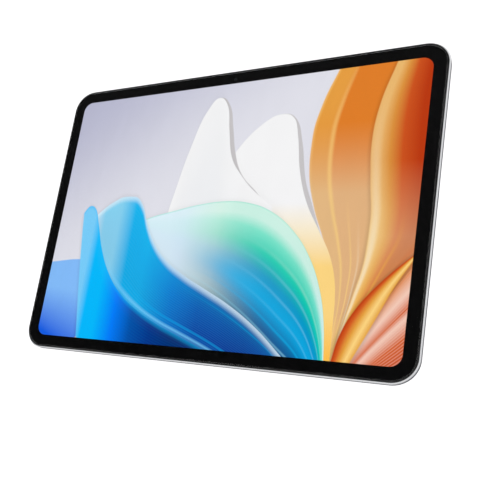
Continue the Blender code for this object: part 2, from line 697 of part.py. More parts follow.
def make_battery(b):
    cell = (CELL_RIGHT - CELL_LEFT - CELL_SPACE) / 2
    for name, x in (("left", CELL_LEFT + cell / 2), ("right", CELL_RIGHT - cell / 2)):
        b.layer(
            "battery_cell_" + name, "cell", (cell / 2, (CELL_HIGH - CELL_LOW) / 2),
            FLOOR_Z + SEAT, PLATE_Z - SEAT,
            centre=(x, (CELL_LOW + CELL_HIGH) / 2), corner=CELL_CORNER, segments=4,
            low_edge=(CELL_EDGE, 2), high_edge=(CELL_EDGE, 2),
        )
    b.layer(
        "battery_board", "board", ((CELL_RIGHT - CELL_LEFT) / 2 - FIT, PROTECTION_BOARD_WIDTH / 2),
        BOARD_Z, BOARD_TOP, centre=((CELL_LEFT + CELL_RIGHT) / 2, BATTERY_BOARD_Y),
    )
    b.layer(
        "board_connector", "black_plastic", (CONNECTOR_LENGTH / 2, CONNECTOR_WIDTH / 2),
        SHIELD_Z, SHIELD_Z + CONNECTOR_HEIGHT, centre=(CONNECTOR_X, BATTERY_BOARD_Y),
    )
    strip_bottom = SHIELD_Z + CONNECTOR_HEIGHT + SEAT
    b.layer(
        "battery_flex", "flex", (CONNECTOR_LENGTH, CONNECTOR_WIDTH / 2),
        strip_bottom, strip_bottom + FLEX_THICKNESS,
        centre=(CONNECTOR_X + CONNECTOR_LENGTH / 2, BATTERY_BOARD_Y),
    )


def make_boards(b):
    """The main board on the power key's side, the socket board opposite, and what they carry."""
    main_high = BATTERY_BOARD_Y + PROTECTION_BOARD_WIDTH / 2 + MAIN_ABOVE_BATTERY
    main = b.layer(
        "main_board", "board", (MAIN_STRIP / 2, (main_high - BOARD_LOW) / 2), BOARD_Z, BOARD_TOP,
        centre=(MAIN_X, (main_high + BOARD_LOW) / 2), corner=BOARD_CORNER, segments=2,
    )
    tongue_left = FIT - CAVITY_HALF[0]
    b.cut(main, b.box_tool(
        "main_tongue", ((MAIN_X - tongue_left) / 2, BOARD_TONGUE_HALF), BOARD_Z, BOARD_TOP,
        centre=((MAIN_X + tongue_left) / 2, 0.0),
    ), operation="UNION")
    shield_top = SHIELD_Z + SHIELD_HEIGHT
    column = -CAVITY_HALF[0] + MAIN_OFFSET - FIT - PROCESSOR_SHIELD[0] / 2
    shields = (
        ("processor_shield", column, SHIELD_SPACE / 2 + PROCESSOR_SHIELD[1] / 2, PROCESSOR_SHIELD),
        ("power_shield", column, -SHIELD_SPACE / 2 - POWER_SHIELD[1] / 2, POWER_SHIELD),
        ("radio_shield", MAIN_X, BATTERY_BOARD_Y - RADIO_SPACE - RADIO_SHIELD[1] / 2, RADIO_SHIELD),
    )
    for name, x, y, size in shields:
        half = (size[0] / 2, size[1] / 2)
        b.layer(name, "steel", half, SHIELD_Z, shield_top, centre=(x, y), corner=BOARD_CORNER, segments=2)
    spreader_z = shield_top + SEAT
    b.layer(
        "heat_spreader", "copper",
        (PROCESSOR_SHIELD[0] / 2, (PROCESSOR_SHIELD[1] + SHIELD_SPACE) / 2 + FIT),
        spreader_z, spreader_z + SPREADER_THICKNESS,
        centre=(column, PROCESSOR_SHIELD[1] / 2), corner=BOARD_CORNER, segments=3,
    )
    usb = b.layer(
        "usb_board", "board", (USB_STRIP / 2, (BOARD_TONGUE_HALF - BOARD_LOW) / 2), BOARD_Z, BOARD_TOP,
        centre=(USB_X, (BOARD_TONGUE_HALF + BOARD_LOW) / 2), corner=BOARD_CORNER, segments=2,
    )
    tongue_right = BODY_HALF[0] - PORT_DEPTH - 2 * FIT
    b.cut(usb, b.box_tool(
        "usb_tongue_board", ((tongue_right - USB_X) / 2, BOARD_TONGUE_HALF), BOARD_Z, BOARD_TOP,
        centre=((tongue_right + USB_X) / 2, 0.0),
    ), operation="UNION")
    b.layer(
        "board_flex", "flex", ((USB_X - MAIN_X) / 2, RIBBON_WIDTH / 2), SHIELD_Z, SHIELD_Z + FLEX_THICKNESS,
        centre=((USB_X + MAIN_X) / 2, RIBBON_Y),
    )
    return usb


def make_port(b):
    """The charging socket: a steel shell with round ends, open outwards, and its contact tongue."""
    outer = BODY_HALF[0] - SEAT
    middle = outer - PORT_DEPTH / 2
    shell = make_slab(
        b.home, "usb_port_shell", (middle, PORT_Y, SIDE_Z),
        (PORT_WIDTH + 2 * PORT_SHEET, PORT_HEIGHT + 2 * PORT_SHEET, PORT_DEPTH),
        corner=ROUND_END * (PORT_HEIGHT + 2 * PORT_SHEET), segments=8,
    )
    shell.rotation_euler = (math.pi / 2, 0, math.pi / 2)
    b.part(shell, "steel")
    back = 4 * PORT_SHEET
    inside = make_slab(
        b.cutters, "cut_port_inside", (middle + back, PORT_Y, SIDE_Z),
        (PORT_WIDTH, PORT_HEIGHT, PORT_DEPTH),
        corner=ROUND_END * PORT_HEIGHT, segments=8,
    )
    inside.rotation_euler = shell.rotation_euler
    b.cut(shell, inside)
    inner_end = outer - PORT_DEPTH + back + SEAT
    b.part(make_slab(
        b.home, "usb_tongue", (inner_end + TONGUE_LENGTH / 2, PORT_Y, SIDE_Z),
        (TONGUE_LENGTH, TONGUE_WIDTH, TONGUE_THICKNESS), corner=TONGUE_CORNER, segments=3,
    ), "black_plastic")


def make_card_tray(b, usb_board):
    """The tray with its head flush in the wall, the socket round it, and its eject rod and lever."""
    outer = BODY_HALF[0]
    head_middle = (outer - CARD_HEAD_DEPTH / 2, CARD_Y, SIDE_Z)
    tray = make_slab(
        b.home, "card_tray", head_middle, (CARD_HEAD_WIDTH, CARD_HEAD_HEIGHT, CARD_HEAD_DEPTH),
        corner=ROUND_END * CARD_HEAD_HEIGHT, segments=5,
    )
    tray.rotation_euler = (math.pi / 2, 0, math.pi / 2)
    b.part(tray, "aluminium")
    carrier_inner = outer - CARD_HEAD_DEPTH / 2 - CARD_CARRIER_LENGTH
    half = ((outer - CARD_HEAD_DEPTH / 2 - carrier_inner) / 2, CARD_CARRIER_WIDTH / 2)
    bottom = SIDE_Z - CARD_CARRIER_THICKNESS / 2
    b.cut(tray, b.box_tool(
        "card_carrier", half, bottom, bottom + CARD_CARRIER_THICKNESS,
        centre=(carrier_inner + half[0], CARD_Y),
    ), operation="UNION")
    b.cut(tray, b.box_tool(
        "card_window", (CARD_WINDOW / 2, CARD_WINDOW / 2 + FIT), bottom - FIT, bottom + CARD_HEAD_HEIGHT,
        centre=(carrier_inner + CARD_WINDOW_INSET + CARD_WINDOW / 2, CARD_Y),
        corner=CARD_WINDOW_CORNER, segments=2,
    ))
    socket_outer = CAVITY_HALF[0] - FIT
    socket_inner = carrier_inner + 2 * FIT
    socket_bottom = BOARD_TOP + SEAT
    socket = b.layer(
        "card_socket", "steel",
        ((socket_outer - socket_inner) / 2, CARD_CARRIER_WIDTH / 2 + FIT + SOCKET_SIDE),
        socket_bottom, bottom + CARD_CARRIER_THICKNESS,
        centre=((socket_outer + socket_inner) / 2, CARD_Y),
    )
    b.cut(socket, b.box_tool(
        "socket_inside", (outer - socket_inner + FIT, CARD_CARRIER_WIDTH / 2 + FIT),
        socket_bottom + SOCKET_FLOOR, TOP_Z, centre=(outer, CARD_Y),
    ))
    rod_y = EJECT_Y
    rod_outer = CAVITY_HALF[0] - FIT
    rod_inner = rod_outer - ROD_LENGTH
    rod_middle = ((rod_outer + rod_inner) / 2, rod_y, SIDE_Z)
    rod = make_slab(b.home, "eject_rod", rod_middle, (ROD_LENGTH, ROD_WIDTH, ROD_THICKNESS))
    b.part(rod, "steel", joint_point=(rod_outer, rod_y, SIDE_Z))
    lever_x = rod_inner - FIT - LEVER_WIDTH / 2
    lever_low = rod_y - ROD_WIDTH / 2
    lever_high = CARD_Y
    pivot_y = (rod_y + lever_high) / 2
    lever = make_slab(
        b.home, "eject_lever", (lever_x, (lever_low + lever_high) / 2, SIDE_Z),
        (LEVER_WIDTH, lever_high - lever_low, LEVER_THICKNESS), corner=LEVER_CORNER, segments=3,
    )
    b.part(lever, "steel", joint_point=(lever_x, pivot_y, SIDE_Z))
    pin_low = BOARD_Z + SEAT
    pin_length = SIDE_Z - pin_low
    b.cut(lever, b.rod_tool(
        "lever_pin", (lever_x, pivot_y, pin_low + pin_length / 2), LEVER_PIN / 2, pin_length,
    ), operation="UNION")
    b.cut(usb_board, b.rod_tool(
        "lever_hole", (lever_x, pivot_y, BOARD_Z), LEVER_PIN / 2 + PIN_CLEARANCE,
        BOARD_TOP - BOARD_Z + pin_length,
    ))


def make_key(b, name, centre, length, room, turn):
    """A key through the wall: the stem stands proud outside, the flange holds it inside."""
    stem = WALL + KEY_PROUD + room + KEY_FLANGE
    bm = slab_mesh(
        (length, KEY_HEIGHT, stem), corner=ROUND_END * KEY_HEIGHT, segments=6, high_edge=(KEY_EDGE, 2),
    )
    bmesh.ops.translate(bm, vec=(0, 0, stem / 2), verts=bm.verts)
    key = new_object(name, bm, b.home)
    key.location = centre
    key.rotation_euler = turn
    b.part(key, "aluminium")
    flange_size = (length + 2 * KEY_FLANGE_LIP, KEY_HEIGHT + 2 * KEY_FLANGE_LIP, KEY_FLANGE)
    bm = slab_mesh(flange_size, corner=KEY_FLANGE_LIP, segments=2)
    bmesh.ops.translate(bm, vec=(0, 0, KEY_FLANGE / 2), verts=bm.verts)
    flange = new_object("cut_" + name + "_flange", bm, b.cutters)
    flange.location = centre
    flange.rotation_euler = turn
    b.cut(key, flange, operation="UNION")
    return key


def make_keys(b):
    """The power key in the left side and the volume rocker in the long side, with their switches."""
    inner_x = CAVITY_HALF[0] - SEAT - KEY_FLANGE
    inner_y = CAVITY_HALF[1] - ROCKER_ROOM - KEY_FLANGE
    make_key(
        b, "power_key", (-inner_x, POWER_Y, SIDE_Z), POWER_LENGTH, SEAT, (math.pi / 2, 0, -math.pi / 2),
    )
    volume_key = make_key(
        b, "volume_key", (VOLUME_X, inner_y, SIDE_Z), VOLUME_LENGTH, ROCKER_ROOM, (-math.pi / 2, 0, 0),
    )
    pivot_y = inner_y + KEY_FLANGE / 2
    b.cut(volume_key, b.rod_tool(
        "rocker_rib", (VOLUME_X, pivot_y, SIDE_Z), ROCKER_RIB, KEY_HEIGHT,
    ), operation="UNION")
    switch = (SWITCH_DEPTH / 2, SWITCH_LENGTH / 2)
    low = SIDE_Z - SWITCH_HEIGHT / 2
    high = SIDE_Z + SWITCH_HEIGHT / 2
    switch_x = -(inner_x - FIT - SEAT - SWITCH_DEPTH / 2)
    b.layer("power_switch", "black_plastic", switch, low, high, centre=(switch_x, POWER_Y))
    switch_y = inner_y - FIT - SEAT - SWITCH_DEPTH / 2
    for name, sign in (("down", -1), ("up", 1)):
        b.layer(
            "volume_switch_" + name, "black_plastic", (SWITCH_LENGTH / 2, SWITCH_DEPTH / 2), low, high,
            centre=(VOLUME_X + sign * VOLUME_LENGTH / 3, switch_y),
        )
    bracket_y = switch_y - SWITCH_DEPTH / 2 - SEAT - BRACKET_THICKNESS / 2
    bracket = b.layer(
        "key_bracket", "steel", (VOLUME_LENGTH / 2, BRACKET_THICKNESS / 2), FLOOR_Z + SEAT, PLATE_Z - SEAT,
        centre=(VOLUME_X, bracket_y),
    )
    pad_high = pivot_y - ROCKER_RIB - SEAT
    b.cut(bracket, b.box_tool(
        "bracket_pad", (BRACKET_PAD / 2, (pad_high - bracket_y) / 2), FLOOR_Z + SEAT, PLATE_Z - SEAT,
        centre=(VOLUME_X, (pad_high + bracket_y) / 2),
    ), operation="UNION")


def make_sound(b):
    """Four speaker boxes at the short sides, each behind a dust mesh, and two microphones."""
    bottom = FLOOR_Z + SEAT
    mesh_x = CAVITY_HALF[0] - SEAT - MESH_THICKNESS / 2
    box_x = mesh_x - MESH_THICKNESS / 2 - FIT - SPEAKER_DEPTH / 2
    places = [(sx, sy) for sx in (-1, 1) for sy in (1, -1)]
    for number, (sx, sy) in enumerate(places, 1):
        b.layer(
            f"speaker_box_{number}", "black_plastic", (SPEAKER_DEPTH / 2, SPEAKER_LENGTH / 2),
            bottom, bottom + SPEAKER_HEIGHT, centre=(sx * box_x, sy * SPEAKER_Y),
            corner=SPEAKER_CORNER, segments=3, high_edge=(SPEAKER_EDGE, 1),
        )
        b.layer(
            f"speaker_mesh_{number}", "gauze", (MESH_THICKNESS / 2, grille_half()),
            SIDE_Z - GRILLE_HEIGHT / 2 - FIT, SIDE_Z + GRILLE_HEIGHT / 2 + FIT / 2,
            centre=(sx * mesh_x, sy * SPEAKER_Y),
        )
    low = PLATE_Z - SEAT - MIC_HEIGHT
    b.layer(
        "microphone_top", "black_plastic", (MIC_LENGTH / 2, MIC_DEPTH / 2), low, low + MIC_HEIGHT,
        centre=(TOP_MIC_X, CAVITY_HALF[1] - SEAT - MIC_DEPTH / 2),
    )
    b.layer(
        "microphone_side", "black_plastic", (MIC_DEPTH / 2, MIC_LENGTH / 2), low, low + MIC_HEIGHT,
        centre=(CAVITY_HALF[0] - SEAT - MIC_DEPTH / 2, SIDE_MIC_Y),
    )


def make_cameras(b):
    """The front camera in the upper border, and the rear camera with its ring, window and flash."""
    lens_top = MASK_Z - SEAT
    body_top = LEDGE_Z - FIT
    half = FRONT_CAMERA_BODY / 2
    b.layer(
        "front_camera_body", "black_plastic", (half, half), PLATE_Z - FIT, body_top,
        centre=FRONT_CAMERA, corner=CAMERA_CORNER, segments=3,
    )
    b.rod(
        "front_camera_lens", "lens", (*FRONT_LENS_PLACE, (body_top + SEAT + lens_top) / 2),
        FRONT_LENS / 2, lens_top - body_top - SEAT,
    )
    ring_r = RING_DIAMETER / 2
    inner_r = ring_r - RING_WALL
    flange_r = ring_r + RING_FLANGE
    flange_low = FLOOR_Z + SEAT
    flange_high = flange_low + FLANGE_THICKNESS
    lip_r = inner_r - RING_WALL / 2
    window_low = RING_EDGE + SEAT / 2
    window_high = window_low + REAR_WINDOW_THICKNESS
    b.turned("rear_camera_ring", "steel", (*REAR_CAMERA, 0.0), [
        (lip_r, flange_high), (flange_r, flange_high), (flange_r, flange_low), (ring_r, flange_low),
        (ring_r, RING_BEVEL), (ring_r - RING_BEVEL / 3, RING_BEVEL / 3), (ring_r - RING_BEVEL, 0.0),
        (inner_r + RING_EDGE, 0.0), (inner_r, RING_EDGE), (inner_r, window_high + SEAT),
        (lip_r, window_high + SEAT),
    ], steps=48)
    b.rod(
        "rear_camera_window", "glass", (*REAR_CAMERA, (window_low + window_high) / 2), inner_r - SEAT,
        REAR_WINDOW_THICKNESS, segments=48,
    )
    lens_low = window_high + FIT
    lens_high = flange_high + SEAT
    b.rod(
        "rear_camera_lens", "lens", (*REAR_CAMERA, (lens_low + lens_high) / 2), REAR_LENS_DIAMETER / 2,
        lens_high - lens_low, segments=32,
    )
    half = REAR_CAMERA_BODY / 2
    b.layer(
        "rear_camera_body", "black_plastic", (half, half), lens_high + SEAT, PLATE_Z - SEAT,
        centre=REAR_CAMERA, corner=CAMERA_CORNER, segments=3,
    )
    flash_r = FLASH_DIAMETER / 2
    rim_r = flash_r + FLASH_RIM
    b.turned("flash_window", "lamp", (*FLASH, 0.0), [
        (0.0, flange_high), (rim_r, flange_high), (rim_r, flange_low), (flash_r, flange_low),
        (flash_r, BACK_Z), (0.0, BACK_Z),
    ], steps=32)


def make_screws(b):
    """Each screw holds the middle frame to a boss of the rear cover."""
    seat = LEDGE_Z - SCREW_SINK
    head_low = seat + SEAT
    head_high = head_low + SCREW_HEAD_HEIGHT
    head_r = SCREW_HEAD / 2
    tip = FLOOR_Z + 3 * FIT
    for number, (x, y) in enumerate(screw_places(), 1):
        b.turned(f"screw_{number}", "steel", (x, y, 0.0), [
            (0.0, head_high), (head_r - SCREW_EDGE, head_high), (head_r, head_high - SCREW_EDGE),
            (head_r, head_low), (SCREW_SHAFT / 2, head_low), (SCREW_SHAFT / 2, tip), (0.0, tip),
        ], steps=20)


def main():
    clear_scene()
    b = Builder()
    make_rear_cover(b)
    make_back_trims(b)
    make_screen(b)
    make_mid_frame(b)
    make_display_electronics(b)
    make_battery(b)
    usb_board = make_boards(b)
    make_port(b)
    make_card_tray(b, usb_board)
    make_keys(b)
    make_sound(b)
    make_cameras(b)
    make_screws(b)


main()
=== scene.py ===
"""Finishes, lit picture, small camera and socket details, and a plain stage for a tablet computer."""

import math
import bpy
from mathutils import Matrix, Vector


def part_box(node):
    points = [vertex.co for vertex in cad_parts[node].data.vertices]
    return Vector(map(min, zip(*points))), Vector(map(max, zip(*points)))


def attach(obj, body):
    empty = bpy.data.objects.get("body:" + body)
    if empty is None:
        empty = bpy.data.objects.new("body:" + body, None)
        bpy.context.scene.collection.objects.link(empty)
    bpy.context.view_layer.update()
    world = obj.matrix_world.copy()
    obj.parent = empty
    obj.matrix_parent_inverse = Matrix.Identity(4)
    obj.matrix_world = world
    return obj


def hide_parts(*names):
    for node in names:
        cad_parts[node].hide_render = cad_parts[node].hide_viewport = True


bl_info = {
    "name": "Tablet Computer Finish",
    "version": (1, 0, 0),
    "blender": (4, 5, 0),
    "location": "3D View > Sidebar > Tablet",
    "description": "Gives a tablet computer its materials, its lit picture and a studio stage",
    "category": "Object",
}

import bmesh
import bpy
from bpy.props import FloatProperty, FloatVectorProperty, IntProperty, PointerProperty
from mathutils import Vector

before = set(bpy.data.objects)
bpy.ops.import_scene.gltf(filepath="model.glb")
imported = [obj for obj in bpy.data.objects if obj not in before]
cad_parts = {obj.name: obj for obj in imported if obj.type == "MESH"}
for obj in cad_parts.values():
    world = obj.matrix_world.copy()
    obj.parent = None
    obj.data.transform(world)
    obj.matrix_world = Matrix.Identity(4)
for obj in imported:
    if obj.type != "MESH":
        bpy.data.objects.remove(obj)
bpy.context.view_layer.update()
MM = 0.001
LENS_SHARE = 0.96   # a lens's radius, as a share of the hole it lies in


# Small helpers for properties and colours.

def colour_value(name, description, red, green, blue):
    """A colour property whose default is given as 0 to 255 display values."""
    return FloatVectorProperty(
        name=name, description=description, subtype="COLOR_GAMMA", size=3, min=0.0, max=1.0,
        default=(red / 255, green / 255, blue / 255),
    )


def length_value(name, description, default):
    """A length property in metres."""
    return FloatProperty(name=name, description=description, default=default, min=0.0, unit="LENGTH")


def factor_value(name, description, default, highest=1.0):
    """A plain number from nought to highest."""
    return FloatProperty(
        name=name, description=description, default=default, min=0.0, max=highest, subtype="FACTOR",
    )


def linear(colour):
    """A display colour as the linear values that shaders use."""
    return tuple(c / 12.92 if c <= 0.04045 else ((c + 0.055) / 1.055) ** 2.4 for c in colour)


# Settings that a user would change.

class TabletMetalSettings(bpy.types.PropertyGroup):
    """Colours and grain of the metal parts."""

    body: colour_value("Body", "Blasted and anodised casing", 160, 161, 164)
    rim: colour_value("Rim", "Bright cut edge round the screen", 226, 227, 229)
    sheet: colour_value("Sheet", "Rolled sheet inside", 190, 191, 194)
    grain: length_value("Grain", "Size of the blasted grain", 0.00016)
    roughness: factor_value("Roughness", "How matt the casing is", 0.34)


class TabletGlassSettings(bpy.types.PropertyGroup):
    """The cover glass, the printed border and the camera windows."""

    ink: colour_value("Border", "Printed border behind the glass", 5, 5, 6)
    gasket: colour_value("Gasket", "Soft line round the glass", 14, 14, 15)
    # the coating colour is painted into the lenses' glass as a coloured reflection towards their middle
    coating: colour_value("Coating", "Tint of the camera lenses' coating", 24, 62, 70)
    index: factor_value("Glass index", "Refractive index of the cover glass", 1.47, 3.0)


class TabletPictureSettings(bpy.types.PropertyGroup):
    """Colours of the lit picture's overlapping waves."""

    brightness: factor_value("Brightness", "Light given off by the picture", 1.06, 10.0)
    sky_high: colour_value("Sky high", "Background at the upper left", 186, 187, 210)
    sky_low: colour_value("Sky low", "Background near the waves", 226, 226, 235)
    hill_light: colour_value("Hill light", "Crest of the round hill", 132, 188, 250)
    hill_deep: colour_value("Hill deep", "Foot of the round hill", 20, 92, 226)
    paper: colour_value("Paper", "White crests", 246, 246, 247)
    paper_low: colour_value("Paper low", "Lower part of the white crests", 236, 238, 241)
    paper_fold: colour_value("Paper fold", "Turned edge of the white crests", 200, 197, 199)
    wing_light: colour_value("Wing light", "Tip of the left wing", 124, 208, 252)
    wing: colour_value("Wing", "Middle of the left wing", 0, 186, 254)
    wing_deep: colour_value("Wing deep", "Foot of the left wing", 0, 120, 250)
    mint_pale: colour_value("Mint pale", "Crest of the dome", 216, 245, 234)
    mint: colour_value("Mint", "Upper dome", 122, 228, 202)
    teal: colour_value("Teal", "Middle of the dome", 20, 202, 176)
    cyan: colour_value("Cyan", "Lower dome", 0, 140, 194)
    ocean: colour_value("Ocean", "Foot of the dome", 0, 122, 206)
    ice: colour_value("Ice", "Bright edge of the long sweep", 222, 242, 252)
    azure: colour_value("Azure", "Upper part of the long sweep", 146, 218, 244)
    azure_deep: colour_value("Azure deep", "Middle of the long sweep", 14, 182, 240)
    royal: colour_value("Royal", "Lower part of the long sweep", 0, 70, 162)
    navy: colour_value("Navy", "Deep fold", 0, 30, 128)
    midnight: colour_value("Midnight", "Darkest fold", 0, 14, 100)
    cream: colour_value("Cream", "Pale edge of the warm sheets", 250, 236, 205)
    honey: colour_value("Honey", "Warm light lines", 253, 214, 130)
    sun: colour_value("Sun", "Yellow sliver", 255, 190, 74)
    amber: colour_value("Amber", "First warm sheet's edge", 234, 170, 74)
    orange: colour_value("Orange", "First warm sheet", 224, 126, 40)
    tan: colour_value("Tan", "Faded part of the warm sheets", 226, 186, 138)
    rust: colour_value("Rust", "Second warm sheet", 186, 56, 12)
    ember: colour_value("Ember", "Second warm sheet's foot", 212, 92, 34)
    peach: colour_value("Peach", "Corner sheet", 244, 204, 186)
    gold: colour_value("Gold", "Diagonal fold", 230, 164, 66)


class TabletDetailSettings(bpy.types.PropertyGroup):
    """Sizes of the small details that are added to the frame."""

    contact_pitch: length_value("Contact pitch", "Spacing of the socket's contacts", 0.0005)
    contact_width: length_value("Contact width", "Width of one contact", 0.00027)
    contact_count: IntProperty(name="Contacts", description="Contacts on each side", default=12, min=1)
    lens_steps: IntProperty(name="Lens steps", description="Steps in the lens barrel", default=4, min=1)
    flash_rings: IntProperty(name="Flash rings", description="Ridges in the flash window", default=6, min=1)


class TabletStageSettings(bpy.types.PropertyGroup):
    """Floor, lamps and camera."""

    floor: colour_value("Floor", "Pale floor", 186, 186, 186)
    floor_glow: factor_value("Floor glow", "Evenness added to the floor", 0.9, 5.0)
    softbox: factor_value("Softbox", "Brightness of the lamps overhead", 1.0, 20.0)
    panel: factor_value("Panel", "Brightness of the low panels", 0.85, 20.0)
    air: factor_value("Air", "Light from all round", 0.06, 5.0)
    lens: FloatProperty(name="Lens", description="Camera focal length", default=42.068, unit="CAMERA")


# Node materials.

class Finish:
    """A node material being built, with short ways to add and join nodes."""

    def __init__(self, name):
        self.material = bpy.data.materials.new(name)
        self.material.use_nodes = True
        self.tree = self.material.node_tree
        self.tree.nodes.clear()
        self.shader = self.node("ShaderNodeBsdfPrincipled")
        output = self.node("ShaderNodeOutputMaterial")
        self.tree.links.new(self.shader.outputs[0], output.inputs["Surface"])

    def node(self, kind, inputs=(), **settings):
        """Adds a node, sets its settings, and joins or sets its inputs by name or number."""
        made = self.tree.nodes.new(kind)
        for name, value in settings.items():
            setattr(made, name, value)
        for key, value in dict(inputs).items():
            self.feed(made.inputs[key], value)
        return made

    def feed(self, socket, value):
        """Joins a socket to another, or sets its own value."""
        if isinstance(value, bpy.types.NodeSocket):
            self.tree.links.new(value, socket)
        elif isinstance(value, (tuple, list)) and socket.type == "RGBA":
            socket.default_value = (*value[:3], 1.0)
        else:
            socket.default_value = value

    def surface(self, **values):
        """Sets the shader's own sockets, where a socket's name is written with underscores."""
        for name, value in values.items():
            self.feed(self.shader.inputs[name.replace("_", " ")], value)
        return self.material

    def place(self):
        """Where a point is on the piece, in metres."""
        return self.node("ShaderNodeTexCoord").outputs["Object"]

    def axes(self, place=None):
        """The three shares of a place, along x, y and z."""
        split = self.node("ShaderNodeSeparateXYZ", {0: place or self.place()})
        return split.outputs[0], split.outputs[1], split.outputs[2]

    def math(self, operation, a, b=0.0, c=0.0, clamp=False):
        """One step of arithmetic on sockets or numbers."""
        made = self.node("ShaderNodeMath", operation=operation, use_clamp=clamp)
        for socket, value in zip(made.inputs, (a, b, c)):
            self.feed(socket, value)
        return made.outputs[0]

    def mix(self, factor, a, b):
        """Colour a where factor is nought, b where it is one."""
        made = self.node("ShaderNodeMix", data_type="RGBA")
        self.feed(made.inputs[0], factor)
        self.feed(made.inputs[6], a)
        self.feed(made.inputs[7], b)
        return made.outputs[2]

    def fade(self, value, low, high, start=0.0, end=1.0, kind="SMOOTHSTEP"):
        """start where value is below low, end above high, and between them a soft change."""
        made = self.node("ShaderNodeMapRange", interpolation_type=kind)
        for socket, number in zip(made.inputs, (value, low, high, start, end)):
            self.feed(socket, number)
        return made.outputs[0]

    def ramp(self, factor, stops):
        """A colour ramp through (position, linear colour) stops."""
        made = self.node("ShaderNodeValToRGB", {0: factor})
        made.color_ramp.interpolation = "EASE" if len(stops) < 3 else "LINEAR"
        elements = made.color_ramp.elements
        while len(elements) < len(stops):
            elements.new(0.5)
        for element, (position, colour) in zip(elements, stops):
            element.position = position
            element.color = (*colour, 1.0)
        return made.outputs[0]

    def curve(self, value, points, reach=2.0):
        """A smooth line through (value, result) points, with results up to reach."""
        made = self.node("ShaderNodeFloatCurve", {"Value": value})
        line = made.mapping.curves[0]
        while len(line.points) < len(points):
            line.points.new(0.5, 0.5)
        for point, (x, y) in zip(line.points, points):
            point.location = (x, y / reach)
            point.handle_type = "AUTO_CLAMPED"
        made.mapping.update()
        return self.math("MULTIPLY", made.outputs[0], reach)

    def spread(self, noise, start=0.0, end=1.0):
        """Noise, most of which lies between 0.3 and 0.7, spread from start to end."""
        return self.fade(noise, 0.3, 0.7, start, end)

    def noise(self, size, detail=2.0, roughness=0.5, stretch=(1.0, 1.0, 1.0), place=None):
        """Soft noise whose features are about size across, in metres."""
        scaled = self.node("ShaderNodeMapping", {"Vector": place or self.place(), "Scale": stretch})
        made = self.node("ShaderNodeTexNoise", {
            "Vector": scaled.outputs[0], "Scale": 1.0 / size, "Detail": detail, "Roughness": roughness,
        })
        return made.outputs["Fac"]

    def bump(self, height, depth, strength=1.0):
        """A bent normal from a height of nought to one, depth metres deep."""
        made = self.node("ShaderNodeBump", {"Height": height, "Distance": depth, "Strength": strength})
        return made.outputs["Normal"]


def grained(finish, colour, spread, size):
    """A colour that varies a little, in fine grain and in wide soft clouds."""
    cloud_size, cloud_share = size * 220, 0.6
    fine = finish.noise(size)
    wide = finish.noise(cloud_size, 3.0)
    grain = finish.math("MULTIPLY", fine, 1.0 - cloud_share)
    both = finish.math("MULTIPLY_ADD", wide, cloud_share, grain)
    low = tuple(max(0.0, c * (1 - spread)) for c in colour)
    high = tuple(min(1.0, c * (1 + spread)) for c in colour)
    return finish.mix(finish.spread(both), low, high), fine


def blasted_metal(name, settings, cut_rim=False):
    """Fine blasted, anodised aluminium; the casing also has a bright cut rim."""
    finish = Finish(name)
    colour, fine = grained(finish, linear(settings.body), 0.05, settings.grain)
    roughness = finish.fade(fine, 0.25, 0.75, settings.roughness - 0.04, settings.roughness + 0.05)
    grain_depth = settings.grain * 0.09
    if cut_rim:
        cut_depth, blend = 0.7 * MM, 0.03 * MM
        height = finish.axes()[2]
        up = finish.node("ShaderNodeSeparateXYZ", {
            0: finish.node("ShaderNodeNewGeometry").outputs["Normal"],
        }).outputs[2]
        rim_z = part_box("rear_cover")[1].z - cut_depth
        high_up = finish.fade(height, rim_z - blend, rim_z + blend, kind="LINEAR")
        facing = finish.fade(up, 0.2, 0.45)
        bright = finish.math("MULTIPLY", high_up, facing)
        marks = finish.noise(0.05 * MM, 2.0, 0.5, (0.12, 0.12, 1.0))
        colour = finish.mix(bright, colour, linear(settings.rim))
        polished = finish.spread(marks, 0.1, 0.17)
        matt_part = finish.math("MULTIPLY", roughness, finish.math("SUBTRACT", 1.0, bright))
        roughness = finish.math("MULTIPLY_ADD", polished, bright, matt_part)
    return finish.surface(
        Base_Color=colour, Roughness=roughness, Metallic=1.0, Specular_Tint=(0.12, 0.12, 0.13),
        Normal=finish.bump(fine, grain_depth),
    )


def brushed_metal(name, colour, roughness=0.35, along=(0.04, 1.0, 1.0), size=0.12 * MM):
    """Rolled or turned metal with fine lines along one axis."""
    finish = Finish(name)
    lines = finish.noise(size, 3.0, 0.6, along)
    clouds = finish.noise(size * 60, 3.0)
    shade = finish.mix(finish.spread(clouds), tuple(c * 0.9 for c in colour), colour)
    return finish.surface(
        Base_Color=finish.mix(finish.fade(lines, 0.35, 0.65), tuple(c * 0.86 for c in colour), shade),
        Roughness=finish.spread(lines, roughness - 0.06, roughness + 0.1),
        Metallic=1.0, Normal=finish.bump(lines, size * 0.05),
    )


def moulded_plastic(name, colour, roughness=0.5, size=0.25 * MM, depth=0.012 * MM, spread=0.12):
    """Spark-eroded moulded plastic or rubber."""
    finish = Finish(name)
    shade, fine = grained(finish, colour, spread, size)
    return finish.surface(
        Base_Color=shade, Roughness=finish.spread(fine, roughness - 0.06, roughness + 0.08),
        Normal=finish.bump(fine, depth),
    )


def clear_glass(name, index, tint=(1.0, 1.0, 1.0)):
    """Polished glass with the faintest smear in its gloss."""
    finish = Finish(name)
    smear = finish.noise(9 * MM, 4.0, 0.6, (1.0, 0.35, 1.0))
    return finish.surface(
        Base_Color=finish.mix(finish.spread(smear), tint, tuple(c * 0.985 for c in tint)),
        Roughness=finish.fade(smear, 0.35, 0.8, 0.0, 0.008),
        Transmission_Weight=1.0, IOR=index,
    )


